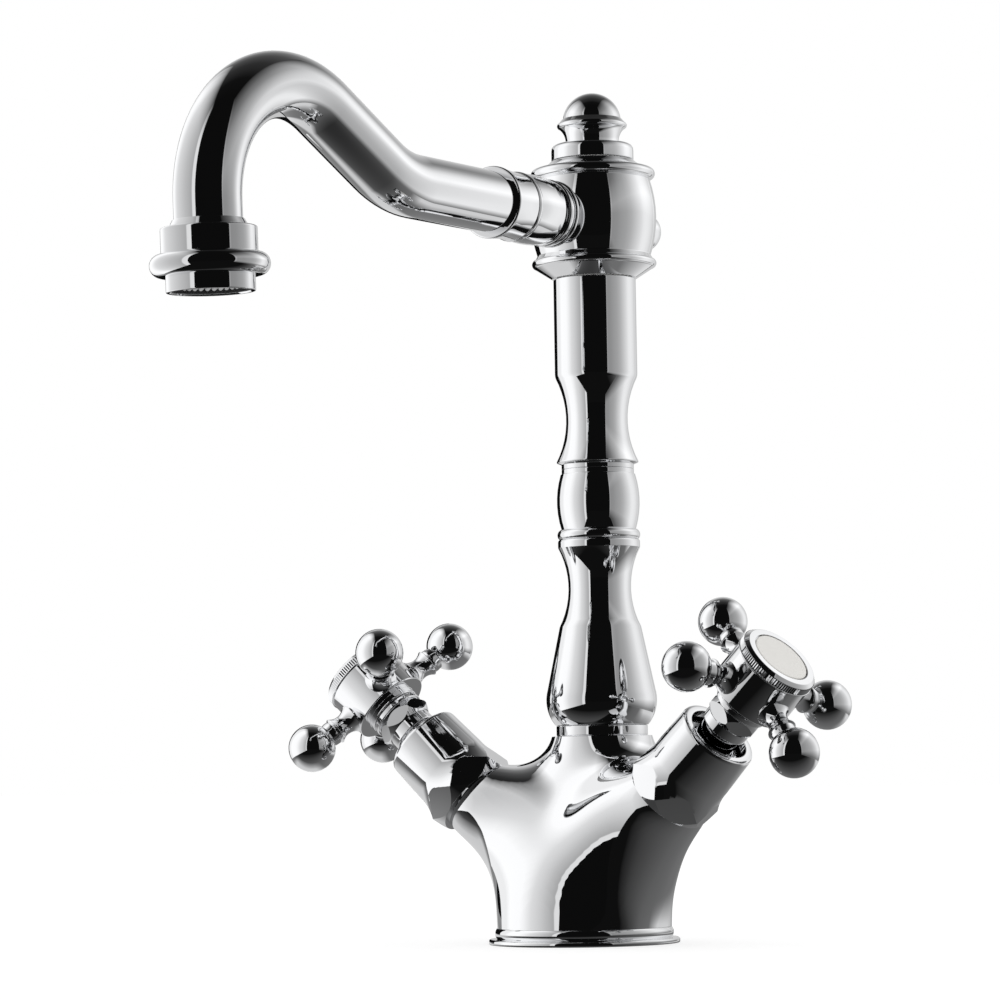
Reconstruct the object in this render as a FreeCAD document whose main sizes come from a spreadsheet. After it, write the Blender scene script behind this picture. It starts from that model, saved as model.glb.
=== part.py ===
# Deck-mounted bathroom mixer: a Y-shaped body with two slanted valves and cross handles,
# a turned column, and a swan-neck spout that swings about the column.
# Frame: millimetres, +Z up, -Y towards the user, +X to the cold side.
# Origin: centre of the base flange on the deck.
import FreeCAD, Part
import math
import os

import Sketcher

SIZES = {
    # Clearances
    "fit": 0.1,  # fixed pieces that slip into each other
    "running_fit": 0.05,  # turning shafts in their bores
    "seal_clear": 0.02,  # seals in the bores that they wipe
    "swivel_gap": 0.3,  # faces that pass each other
    "disc_gap": 0.05,  # lapped disc over lapped disc
    # Base flange
    "base_step_w": 0.5,
    "base_bead_w": 0.6,
    "base_ledge_w": 2.4,
    "base_rim_h": 1.5,
    "base_ring_h": 4.6,
    "base_bore_r": 20.0,
    "gasket_land_w": 1.5,
    "gasket_w": 3.0,
    "gasket_h": 0.8,
    # Body casting: oval sections from the foot to the neck
    "foot_r": 24.4,
    "waist_z": 11.0,
    "waist_r": 24.45,
    "chest_z": 23.0,
    "chest_r": 22.6,
    "chest_spread": 0.6,  # wider towards the arms than from front to back
    "chest_back": 1.5,
    "shoulder_z": 36.0,
    "shoulder_r": 17.8,
    "shoulder_spread": 6.0,
    "shoulder_back": 5.5,
    "saddle_z": 45.0,
    "saddle_r": 14.9,
    "saddle_spread": 13.0,
    "saddle_back": 8.5,
    "web_z": 50.0,
    "web_r": 14.0,
    "web_spread": 11.2,
    "web_back": 9.9,
    "throat_z": 54.2,
    "throat_r": 13.6,
    "throat_spread": 4.0,
    "throat_back": 10.7,
    "neck_z": 59.0,
    "neck_r": 13.5,
    "column_back": 11.0,  # column axis behind the base axis
    # Valve axes: both start on the base's middle plane
    "valve_forward": 1.9,
    "valve_root_z": 11.0,
    "valve_rise": 43.0,
    "valve_yaw": 6.15,
    # Valve arms of the body, along the valve axis
    "arm_back": 1.2,  # cast arm behind the valve axis
    "arm_root_at": 9.0,
    "arm_root_r": 15.5,
    "flare_at": 18.7,
    "flare_r": 16.0,
    "flare_mid_at": 25.5,
    "flare_mid_r": 13.6,
    "arm_at": 34.0,
    "arm_r": 11.9,
    "arm_end": 45.0,
    "arm_thread_r": 10.1,
    "arm_thread_h": 5.0,
    "seat_at": 24.0,
    "seat_bore_r": 3.5,
    "valve_bore_r": 8.5,
    # Inlets, fixing stud and waterways in the body
    "inlet_x": 10.0,
    "inlet_r": 4.5,
    "inlet_h": 14.0,  # threaded length
    "inlet_way_r": 3.5,
    "stud_back": 13.0,
    "stud_hole_r": 3.4,
    "stud_hole_h": 14.0,
    "cross_at": 31.0,
    "cross_r": 3.0,
    "riser_r": 5.0,
    # Column
    "tenon_r": 7.5,
    "tenon_h": 7.0,
    "neck_ring_r": 13.2,
    "neck_ring_h": 3.2,
    "vase_foot_r": 13.4,
    "vase_r": 16.0,
    "vase_belly_h": 7.0,
    "vase_shoulder_r": 15.6,
    "vase_shoulder_h": 10.2,
    "vase_top_r": 11.8,
    "vase_h": 28.4,
    "low_cove_r": 9.05,
    "low_cove_h": 23.0,
    "lip_r": 11.9,
    "lip_h": 2.3,
    "bead_r": 12.0,
    "bead_foot_r": 11.4,
    "bead_h": 3.0,
    "knop_end_r": 10.8,
    "knop_r": 12.0,
    "knop_h": 16.0,
    "groove_r": 10.5,
    "groove_h": 2.8,
    "high_lip_h": 0.6,
    "high_cove_r": 8.93,
    "high_cove_h": 25.1,
    "tube_r": 12.0,
    "tube_h": 28.4,
    # Swivel
    "spigot_r": 8.0,
    "spigot_sink": 12.0,
    "spigot_hole_r": 3.0,
    "spigot_roof": 6.0,
    "ring_section_r": 0.8,
    "ring_slack": 0.4,
    "ring_inset": 4.5,
    "washer_r": 11.0,
    "washer_h": 1.0,
    "housing_foot_r": 12.4,
    "collar_r": 18.1,
    "collar_cone_h": 3.6,
    "collar_h": 5.2,
    "barrel_end_r": 16.3,
    "barrel_r": 17.75,
    "barrel_at": 6.7,
    "barrel_h": 22.4,
    "flange_r": 18.1,
    "flange_h": 1.8,
    "flange_top_r": 12.2,
    "housing_h": 34.4,
    "chamber_r": 12.0,
    "chamber_h": 11.0,
    "cap_stud_r": 4.0,
    "cap_stud_h": 6.0,
    # Finial
    "cap_r": 12.0,
    "cap_side_h": 2.1,
    "cap_h": 4.7,
    "cap_waist_r": 7.8,
    "cap_ring_r": 10.1,
    "cap_ring_at": 10.0,
    "cap_dome_at": 11.4,
    "cap_dome_r": 8.5,
    # Spout: lengths along its level run are measured from the column axis
    "spout_at": 16.5,  # spout axis above the housing's underside
    "boss_r": 9.7,
    "boss_end": 24.0,
    "boss_bore_r": 6.0,
    "boss_thread_h": 7.0,
    "rear_boss_r": 6.6,
    "rear_boss_end": 18.4,
    "rear_plug_r": 6.0,
    "rear_plug_h": 7.1,
    "rear_stem_r": 3.5,
    "rear_stem_h": 4.5,
    "union_r": 10.0,
    "union_ring_r": 10.35,
    "union_ring_h": 2.4,
    "union_h": 18.0,
    "spout_seal_h": 1.2,
    "sleeve_r": 9.6,
    "sleeve_h": 8.0,
    "sleeve_bead_r": 10.3,
    "sleeve_bead_h": 6.6,
    "pipe_r": 8.8,
    "pipe_wall": 1.3,
    "spout_reach": 177.1,
    "rise_angle": 27.0,
    "rise_h": 27.4,  # straight stretch of the rise
    "low_bend_r": 35.5,
    "top_bend_r": 32.6,
    # Outlet
    "outlet_lean": 2.5,
    "outlet_h": 23.2,  # outlet face below the end of the top bend
    "aerator_r": 11.4,
    "aerator_h": 4.0,
    "aerator_thread_r": 10.3,
    "aerator_thread_h": 4.0,
    "aerator_mouth_r": 8.3,
    "aerator_lip_h": 1.2,
    "aerator_wall": 1.0,
    "insert_h": 4.6,
    "insert_hole_r": 0.7,
    "insert_hole_pcd": 12.4,
    "insert_holes": 16,
    "aerator_seal_h": 0.8,
    "tip_bead_r": 15.4,
    "tip_bead_h": 5.8,
    "tip_r": 12.35,
    "tip_h": 6.4,
    "tip_edge": 0.7,
    "tip_cone_r": 9.3,
    "tip_cone_h": 2.0,
    "tip_socket_h": 7.0,
    # Valve shroud, along the valve axis
    "shroud_foot_r": 13.3,
    "shroud_edge": 1.3,
    "shroud_bend_r": 12.3,
    "shroud_bend_h": 8.5,
    "shroud_rim_r": 11.6,
    "shroud_lip": 1.4,
    "shroud_h": 25.0,
    "shroud_mouth_r": 8.75,
    "shroud_mouth_h": 2.4,
    "shroud_bore_r": 10.2,
    # Valve headpart
    "seat_seal_h": 1.5,
    "disc_h": 2.0,
    "disc_r": 6.6,
    "disc_port_r": 1.8,
    "disc_port_at": 3.6,
    "cartridge_r": 8.4,
    "cartridge_cavity_r": 7.0,
    "cartridge_cavity_h": 9.0,
    "cartridge_top": 3.4,  # below the shroud's rim
    "window_r": 2.2,
    "gland_r": 6.1,
    "nut_flats": 14.6,
    "nut_h": 4.5,
    "nut_chamfer": 0.6,
    "spindle_r": 4.0,
    "spindle_foot_h": 3.0,
    "spindle_ring_down": 12.0,  # seal below the gland's end
    "spindle_ring_r": 0.55,
    # Cross handle, along the valve axis from the plane of the balls
    "ball_at": 88.9,
    "handle_gap": 0.5,
    "hub_r": 11.7,
    "hub_drop": 4.7,
    "hub_rise": 8.0,
    "hub_collar_r": 8.2,
    "hub_collar_h": 1.8,
    "hub_dish_r": 10.6,
    "hub_dish_h": 0.9,
    "hub_well_r": 9.4,
    "hub_floor": 3.0,
    "spline_r": 3.5,
    "spline_h": 7.5,
    "screw_r": 2.0,
    "screw_h": 9.0,
    "screw_head_r": 3.5,
    "screw_head_h": 2.2,
    "hot_turn": 39.75,
    "cold_turn": 74.25,
    "arm_stud_r": 2.5,
    "arm_stud_at": 6.6,
    "arm_bell_r": 4.6,
    "arm_waist_r": 3.0,
    "arm_waist_at": 14.4,
    "arm_flare_r": 4.1,
    "arm_flare_at": 17.6,
    "arm_ring_r": 3.6,
    "arm_ring_h": 1.8,
    "ball_r": 7.0,
    "ball_reach": 26.15,
    # Index bezel and disc
    "bezel_flange_r": 12.0,
    "bezel_flange_h": 0.8,
    "bezel_knurl_r": 11.8,
    "bezel_knurl_h": 1.4,
    "bezel_top_r": 10.7,
    "bezel_h": 3.4,
    "bezel_thread_h": 3.0,
    "bezel_bore_r": 7.2,
    "index_r": 8.4,
    "index_gap": 0.3,
    "index_h": 1.1,
    "index_edge": 0.4,
}
HALF = 0.5
SIN_45 = math.sqrt(HALF)
COS_30 = math.sqrt(3) * HALF
HANDLE_ARMS = 4

doc = FreeCAD.newDocument("bathroom_mixer")
sheet = doc.addObject("Spreadsheet::Sheet", "sizes")
for row, (alias, number) in enumerate(SIZES.items(), start=1):
    sheet.set(f"A{row}", alias)
    sheet.set(f"B{row}", str(number))
    sheet.setAlias(f"B{row}", alias)
doc.recompute()


class Size:
    """A formula over the sheet's cells, with its present value."""

    def __init__(self, formula, value):
        self.formula = str(formula)
        self.value = float(value)

    @classmethod
    def of(cls, item):
        return item if isinstance(item, cls) else cls(item, item)

    def __add__(self, other):
        other = Size.of(other)
        return Size(f"({self.formula} + {other.formula})", self.value + other.value)

    def __sub__(self, other):
        other = Size.of(other)
        return Size(f"({self.formula} - {other.formula})", self.value - other.value)

    def __mul__(self, other):
        other = Size.of(other)
        return Size(f"({self.formula} * {other.formula})", self.value * other.value)

    def __truediv__(self, other):
        other = Size.of(other)
        return Size(f"({self.formula} / {other.formula})", self.value / other.value)

    def __radd__(self, other):
        return Size.of(other) + self

    def __rsub__(self, other):
        return Size.of(other) - self

    def __rmul__(self, other):
        return Size.of(other) * self

    def __neg__(self):
        return 0 - self

    def sin(self):
        return Size(f"sin({self.formula})", math.sin(math.radians(self.value)))

    def cos(self):
        return Size(f"cos({self.formula})", math.cos(math.radians(self.value)))


class Cells:
    """The sheet's cells, read by name."""

    def __getattr__(self, name):
        return Size(f"sizes.{name}", SIZES[name])


class Via:
    """A point that the next stretch of an outline passes through on a round arc."""

    def __init__(self, across, up):
        self.point = (across, up)


s = Cells()
pieces = []


def frame(x=0, y=0, z=0, yaw=0, pitch=0, roll=0):
    """Formula of a placement: a shift, and turns about Z, Y and X in degrees."""
    shift = "; ".join(Size.of(item).formula for item in (x, y, z))
    turn = "; ".join(Size.of(item).formula for item in (yaw, pitch, roll))
    return f"placement(vector({shift}); rotation({turn}))"


def place(item, *frames):
    item.setExpression("Placement", " * ".join(frames))
    return item


def piece(label, item, *frames):
    """Name a finished sub-part and put it in its place."""
    item.Label = label
    if frames:
        place(item, *frames)
    pieces.append(item)
    return item


def bind(item, **formulas):
    for name, size in formulas.items():
        item.setExpression(name, Size.of(size).formula)
    return item


def new_sketch(body, role, name):
    sketch = body.newObject("Sketcher::SketchObject", name)
    plane = next(item for item in body.Origin.OriginFeatures if item.Role == role)
    sketch.AttachmentSupport = [(plane, "")]
    sketch.MapMode = "FlatFace"
    return sketch


def pin_point(sketch, geometry, end, point):
    """Tie one sketch point to its two formulas, measured from the sketch's origin."""
    axes = (("DistanceX", -2), ("DistanceY", -1))
    for (kind, axis), size in zip(axes, map(Size.of, point)):
        if size.value == 0:
            sketch.addConstraint(Sketcher.Constraint("PointOnObject", geometry, end, axis))
            continue
        index = sketch.addConstraint(Sketcher.Constraint(kind, -1, 1, geometry, end, size.value))
        sketch.setExpression(f"Constraints[{index}]", size.formula)


def as_vector(point):
    across, up = map(Size.of, point)
    return FreeCAD.Vector(across.value, up.value, 0)


def draw(sketch, outline, closed=True):
    """Draw an outline of corners, with a Via between two corners that an arc joins."""
    corners = [item for item in outline if not isinstance(item, Via)]
    stretches = []
    for index, item in enumerate(outline):
        if isinstance(item, Via):
            continue
        after = outline[(index + 1) % len(outline)]
        via = after if isinstance(after, Via) else None
        stretches.append((item, via))
    if not closed:
        stretches.pop()
    edges = []
    for index, (corner, via) in enumerate(stretches):
        first = as_vector(corner)
        last = as_vector(corners[(index + 1) % len(corners)])
        if via is None:
            edges.append((sketch.addGeometry(Part.LineSegment(first, last)), 1, 2))
            continue
        middle = as_vector(via.point)
        if (middle - first).cross(last - middle).z > 0:
            edges.append((sketch.addGeometry(Part.Arc(first, middle, last)), 1, 2))
        else:
            edges.append((sketch.addGeometry(Part.Arc(last, middle, first)), 2, 1))
    joints = list(zip(edges, edges[1:]))
    if closed:
        joints.append((edges[-1], edges[0]))
    for (before, _, end), (after, start, _) in joints:
        sketch.addConstraint(Sketcher.Constraint("Coincident", before, end, after, start))
    for (edge, start, _), (corner, via) in zip(edges, stretches):
        pin_point(sketch, edge, start, corner)
        if via is not None:
            mark = sketch.addGeometry(Part.Point(as_vector(via.point)), True)
            pin_point(sketch, mark, 1, via.point)
            sketch.addConstraint(Sketcher.Constraint("PointOnObject", mark, 1, edge))
    if not closed:
        edge, _, end = edges[-1]
        pin_point(sketch, edge, end, corners[-1])
    return [f"Edge{index + 1}" for index in range(len(edges))]


def turned(name, outline):
    """A body of revolution about Z from an outline of (radius, height)."""
    body = doc.addObject("PartDesign::Body", name)
    sketch = new_sketch(body, "XZ_Plane", name + "_outline")
    draw(sketch, outline)
    turn = body.newObject("PartDesign::Revolution", name + "_turn")
    turn.Profile = sketch
    turn.ReferenceAxis = (sketch, ["V_Axis"])
    turn.Angle = 360
    return body


def ring(name, inner, outer, bottom, top):
    return turned(name, [(inner, bottom), (outer, bottom), (outer, top), (inner, top)])


def rod(name, radius, length, *frames):
    """A plain cylinder along Z."""
    item = doc.addObject("Part::Cylinder", name)
    bind(item, Radius=radius, Height=length)
    return place(item, *frames) if frames else item


def cut(name, base, tools):
    """The base without the tools."""
    if len(tools) > 1:
        tool = doc.addObject("Part::MultiFuse", name + "_cutters")
        tool.Shapes = tools
    else:
        tool = tools[0]
    item = doc.addObject("Part::Cut", name)
    item.Base = base
    item.Tool = tool
    return item


def fuse(name, shapes):
    item = doc.addObject("Part::MultiFuse", name)
    item.Shapes = shapes
    return item


def torus(name, inner, outer, *frames):
    """A seal ring that fills a groove from the inner to the outer radius."""
    item = doc.addObject("Part::Torus", name)
    bind(item, Radius1=(inner + outer) * HALF, Radius2=(outer - inner) * HALF)
    return place(item, *frames)


# Heights up the column
vase_z = s.neck_z + s.neck_ring_h
low_cove_z = vase_z + s.vase_h
lip_z = low_cove_z + s.low_cove_h
knop_z = lip_z + s.lip_h
knop_body_z = knop_z + s.bead_h
groove_z = knop_body_z + s.knop_h
upper_z = groove_z + s.groove_h * HALF
high_lip_z = upper_z + s.groove_h * HALF
high_cove_z = high_lip_z + s.high_lip_h
tube_z = high_cove_z + s.high_cove_h
column_top = tube_z + s.tube_h
housing_z = column_top + s.swivel_gap
housing_top = housing_z + s.housing_h
cap_z = housing_top + s.swivel_gap
spout_z = housing_z + s.spout_at



def on_circle(centre, radius, angle):
    """Point of a round bend, at an angle clockwise from its top."""
    across, up = centre
    return across + radius * angle.sin(), up + radius * angle.cos()


# Swan neck in its own plane: distance from the column axis, and height
rise = s.rise_angle
low_bend, top_bend = s.low_bend_r, s.top_bend_r
knee = s.spout_reach - low_bend * rise.sin() - s.rise_h * rise.cos() - top_bend * (1 + rise.sin())
low_centre = (knee, spout_z + low_bend)
low_via = on_circle(low_centre, low_bend, 180 - rise * HALF)
low_end = on_circle(low_centre, low_bend, 180 - rise)
rise_end = (low_end[0] + s.rise_h * rise.cos(), low_end[1] + s.rise_h * rise.sin())
top_centre = (s.spout_reach - top_bend, rise_end[1] - top_bend * rise.cos())
top_via = on_circle(top_centre, top_bend, (90 + s.outlet_lean - rise) * HALF)
top_end = on_circle(top_centre, top_bend, 90 + s.outlet_lean)

# Heights of the outlet's pieces along its leaning axis, from the end of the top bend
outlet_z = -s.outlet_h
tip_z = outlet_z + s.aerator_h
tip_bead_top = tip_z + s.tip_bead_h
tip_top = tip_bead_top + s.tip_h
pipe_end = tip_top + s.tip_cone_h - s.tip_socket_h

# Stations along the valve axis
shroud_top = s.arm_end + s.shroud_h
hub_bottom = s.ball_at - s.hub_drop - s.hub_collar_h
gland_end = hub_bottom - s.handle_gap
nut_bottom = gland_end - s.nut_h
cartridge_foot = s.seat_at + s.seat_seal_h
moving_disc_at = cartridge_foot + s.disc_h + s.disc_gap
spindle_foot = moving_disc_at + s.disc_h
cavity_top = cartridge_foot + s.cartridge_cavity_h
barrel_end = shroud_top - s.cartridge_top
spindle_ring_at = gland_end - s.spindle_ring_down
spindle_top = hub_bottom + s.spline_h

# Frames that the pieces are placed in
column = frame(y=s.column_back)
along_spout = frame(y=s.column_back, z=spout_z, roll=90)
behind_spout = frame(y=s.column_back, z=spout_z, roll=-90)
spout_plane = frame(y=s.column_back, yaw=-90)
outlet = frame(y=s.column_back - top_end[0], z=top_end[1], roll=s.outlet_lean)
valve_y = -s.valve_forward
SIDES = {"hot": -1, "cold": 1}
TURNS = {"hot": s.hot_turn, "cold": s.cold_turn}


def slanted(way):
    """Frame whose Z axis runs up one side's slant, from the base's middle plane."""
    return frame(y=valve_y, z=s.valve_root_z, yaw=-way * s.valve_yaw, pitch=way * (90 - s.valve_rise))


VALVES = {side: slanted(way) for side, way in SIDES.items()}
# Shares of a length along a valve axis that go sideways, forwards and up
valve_side = s.valve_rise.cos() * s.valve_yaw.cos()
valve_ahead = s.valve_rise.cos() * s.valve_yaw.sin()
valve_up = s.valve_rise.sin()


def make_base():
    """Base flange with a bead, and the gasket let into its underside."""
    rim_top = s.base_rim_h
    bead_middle = (rim_top + s.base_ring_h) * HALF
    edge = s.base_rim_h * HALF
    step_r = s.foot_r + s.base_step_w
    rim_r = step_r + s.base_ledge_w
    gasket_in_r = s.base_bore_r + s.gasket_land_w
    gasket_r = gasket_in_r + s.gasket_w
    flange = turned("base_ring", [
        (s.base_bore_r, 0),
        (gasket_in_r, 0),
        (gasket_in_r, s.gasket_h),
        (gasket_r, s.gasket_h),
        (gasket_r, 0),
        (rim_r, 0),
        (rim_r, edge),
        Via(rim_r - edge * (1 - SIN_45), edge + edge * SIN_45),
        (rim_r - edge, rim_top),
        (step_r, rim_top),
        Via(step_r + s.base_bead_w, bead_middle),
        (step_r, s.base_ring_h),
        (s.base_bore_r, s.base_ring_h),
    ])
    piece("base_ring", flange)
    gasket = ring("base_gasket", gasket_in_r + s.fit, gasket_r - s.fit, 0, s.gasket_h)
    piece("base_gasket", gasket)


def body_trunk():
    """Smooth trunk through oval sections that lean back towards the column."""
    sections = [
        (s.base_ring_h, s.foot_r, 0, 0),
        (s.waist_z, s.waist_r, 0, 0),
        (s.chest_z, s.chest_r, s.chest_spread, s.chest_back),
        (s.shoulder_z, s.shoulder_r, s.shoulder_spread, s.shoulder_back),
        (s.saddle_z, s.saddle_r, s.saddle_spread, s.saddle_back),
        (s.web_z, s.web_r, s.web_spread, s.web_back),
        (s.throat_z, s.throat_r, s.throat_spread, s.throat_back),
        (s.neck_z, s.neck_r, 0, s.column_back),
    ]
    ovals = []
    for number, (height, radius, spread, back) in enumerate(sections, start=1):
        oval = doc.addObject("Part::Ellipse", f"trunk_section_{number}")
        bind(oval, MajorRadius=radius + spread, MinorRadius=radius)
        ovals.append(place(oval, frame(y=back, z=height)))
    trunk = doc.addObject("Part::Loft", "trunk")
    trunk.Sections = ovals
    trunk.Solid = True
    return trunk


def body_arm(side):
    """Valve arm that flares into the trunk and ends in the shroud's thread."""
    cast = turned(f"{side}_arm", [
        (0, s.arm_root_at),
        (s.arm_root_r, s.arm_root_at),
        (s.flare_r, s.flare_at),
        Via(s.flare_mid_r, s.flare_mid_at),
        (s.arm_r, s.arm_at),
        (s.arm_r, s.arm_end),
        (0, s.arm_end),
    ])
    place(cast, VALVES[side], frame(y=s.arm_back))
    thread_h = s.arm_end + s.arm_thread_h - s.seat_at
    thread = rod(f"{side}_thread", s.arm_thread_r, thread_h, VALVES[side], frame(z=s.seat_at))
    return [cast, thread]


def make_body():
    """Casting with its inlets, valve seats, mixing passage and riser."""
    foot = rod("foot", s.base_bore_r - s.fit, s.waist_z)
    blank = fuse("body_blank", [body_trunk(), foot, *body_arm("hot"), *body_arm("cold")])
    inlet_at = s.inlet_x / valve_side
    inlet_y = valve_y - inlet_at * valve_ahead
    inlet_top = s.valve_root_z + inlet_at * valve_up
    cross_x = s.cross_at * valve_side
    cross_y = valve_y - s.cross_at * valve_ahead
    cross_z = s.valve_root_z + s.cross_at * valve_up
    tenon_z = s.neck_z - s.tenon_h
    cutters = [
        rod("stud_hole", s.stud_hole_r, s.stud_hole_h, frame(y=s.stud_back)),
        rod("riser", s.riser_r, s.neck_z - cross_z, frame(y=s.column_back, z=cross_z)),
        rod("tenon_socket", s.tenon_r + s.fit, s.tenon_h + s.fit, frame(y=s.column_back, z=tenon_z)),
        rod("cross_passage", s.cross_r, cross_x + cross_x, frame(-cross_x, cross_y, cross_z, pitch=90)),
        rod("link_passage", s.riser_r, s.column_back - cross_y, frame(y=cross_y, z=cross_z, roll=-90)),
    ]
    for side, way in SIDES.items():
        valve = VALVES[side]
        inlet = frame(s.inlet_x * way, inlet_y)
        bore_h = s.arm_end + s.arm_thread_h - s.seat_at
        cutters += [
            rod(f"{side}_inlet", s.inlet_r, s.inlet_h, inlet),
            rod(f"{side}_inlet_way", s.inlet_way_r, inlet_top, inlet),
            rod(f"{side}_seat", s.seat_bore_r, s.seat_at - inlet_at, valve, frame(z=inlet_at)),
            rod(f"{side}_valve_bore", s.valve_bore_r, bore_h, valve, frame(z=s.seat_at)),
        ]
    piece("mixer_body", cut("mixer_body", blank, cutters))


def make_column():
    """Neck ring and the three turned pieces that screw together into the column."""
    socket_r = s.tenon_r + s.fit
    socket_h = s.tenon_h + s.fit
    tenon_foot = s.neck_z - s.tenon_h + s.fit
    piece("neck_ring", ring("neck_ring", socket_r, s.neck_ring_r, s.neck_z, vase_z), column)
    lower = turned("lower_column", [
        (s.riser_r, tenon_foot),
        (s.tenon_r, tenon_foot),
        (s.tenon_r, vase_z),
        (s.vase_foot_r, vase_z),
        Via(s.vase_r, vase_z + s.vase_belly_h),
        (s.vase_shoulder_r, vase_z + s.vase_shoulder_h),
        (s.vase_top_r, low_cove_z),
        Via(s.low_cove_r, low_cove_z + s.low_cove_h * HALF),
        (s.lip_r, lip_z),
        (s.lip_r, knop_z),
        (s.tenon_r, knop_z),
        (s.tenon_r, knop_z + s.tenon_h),
        (s.riser_r, knop_z + s.tenon_h),
    ])
    piece("lower_column", lower, column)
    knop = turned("column_knop", [
        (socket_r, knop_z),
        (s.bead_foot_r, knop_z),
        Via(s.bead_r, knop_z + s.bead_h * HALF),
        (s.knop_end_r, knop_body_z),
        Via(s.knop_r, knop_body_z + s.knop_h * HALF),
        (s.knop_end_r, groove_z),
        (s.groove_r, groove_z),
        (s.groove_r, upper_z),
        (s.tenon_r, upper_z),
        (s.tenon_r, upper_z + s.tenon_h),
        (s.riser_r, upper_z + s.tenon_h),
        (s.riser_r, knop_z + socket_h),
        (socket_r, knop_z + socket_h),
    ])
    piece("column_knop", knop, column)
    spigot_foot = column_top - s.spigot_sink
    spigot_socket_r = s.spigot_r + s.fit
    upper = turned("upper_column", [
        (socket_r, upper_z),
        (s.groove_r, upper_z),
        (s.groove_r, high_lip_z),
        (s.tube_r, high_cove_z),
        Via(s.high_cove_r, high_cove_z + s.high_cove_h * HALF),
        (s.tube_r, tube_z),
        (s.tube_r, column_top),
        (spigot_socket_r, column_top),
        (spigot_socket_r, spigot_foot),
        (s.riser_r, spigot_foot),
        (s.riser_r, upper_z + socket_h),
        (socket_r, upper_z + socket_h),
    ])
    piece("upper_column", upper, column)


def ring_groove(floor_r, lip_r, middle, section_r):
    """Corners of a square groove for a seal ring, from the bottom up."""
    half = section_r + s.ring_slack * HALF
    return [
        (lip_r, middle - half),
        (floor_r, middle - half),
        (floor_r, middle + half),
        (lip_r, middle + half),
    ]


def make_swivel():
    """Fixed post with its seals and washers, and the finial that closes it."""
    bore_r = s.spigot_r + s.running_fit
    seal_r = bore_r - s.seal_clear
    floor_r = seal_r - s.ring_section_r - s.ring_section_r
    low_ring = housing_z + s.ring_inset
    high_ring = housing_top - s.ring_inset
    spigot_foot = column_top - s.spigot_sink
    bore_top = cap_z - s.spigot_roof
    post = turned("spigot_post", [
        (s.riser_r, spigot_foot),
        (s.spigot_r, spigot_foot),
        *ring_groove(floor_r, s.spigot_r, low_ring, s.ring_section_r),
        *ring_groove(floor_r, s.spigot_r, high_ring, s.ring_section_r),
        (s.spigot_r, cap_z),
        (s.cap_stud_r, cap_z),
        (s.cap_stud_r, cap_z + s.cap_stud_h),
        (0, cap_z + s.cap_stud_h),
        (0, bore_top),
        (s.riser_r, bore_top),
    ])
    hole_h = s.spigot_r + s.spigot_r
    holes = [
        rod("spigot_hole_x", s.spigot_hole_r, hole_h, frame(x=-s.spigot_r, z=spout_z, pitch=90)),
        rod("spigot_hole_y", s.spigot_hole_r, hole_h, frame(y=-s.spigot_r, z=spout_z, roll=-90)),
    ]
    piece("swivel_spigot", cut("swivel_spigot", post, holes), column)
    for name, height in (("lower", low_ring), ("upper", high_ring)):
        label = f"spigot_oring_{name}"
        piece(label, torus(label, floor_r, seal_r, column, frame(z=height)))
    washer_in = s.spigot_r + s.fit
    seats = {"lower": column_top, "upper": cap_z - s.washer_h}
    for name, seat in seats.items():
        label = f"swivel_washer_{name}"
        piece(label, ring(label, washer_in, s.washer_r, seat, seat + s.washer_h), column)
    make_finial()


def make_finial():
    """Turned cap: a round-shouldered disc, a waist, a ring and a dome."""
    hole_r = s.cap_stud_r + s.fit
    hole_top = cap_z + s.cap_stud_h + s.fit
    shoulder = s.cap_h - s.cap_side_h
    side_z = cap_z + s.cap_side_h
    ring_z = cap_z + s.cap_ring_at
    dome_z = cap_z + s.cap_dome_at
    cap = turned("finial", [
        (hole_r, cap_z),
        (s.cap_r, cap_z),
        (s.cap_r, side_z),
        Via(s.cap_r - shoulder * (1 - SIN_45), side_z + shoulder * SIN_45),
        (s.cap_r - shoulder, side_z + shoulder),
        (s.cap_waist_r, side_z + shoulder),
        Via(s.cap_waist_r + (s.cap_ring_r - s.cap_waist_r) * (1 - SIN_45),
            side_z + shoulder + (s.cap_ring_at - s.cap_h) * SIN_45),
        (s.cap_ring_r, ring_z),
        (s.cap_dome_r, dome_z),
        Via(s.cap_dome_r * SIN_45, dome_z + s.cap_dome_r * SIN_45),
        (0, dome_z + s.cap_dome_r),
        (0, hole_top),
        (hole_r, hole_top),
    ])
    piece("finial", cap, column)


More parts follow.
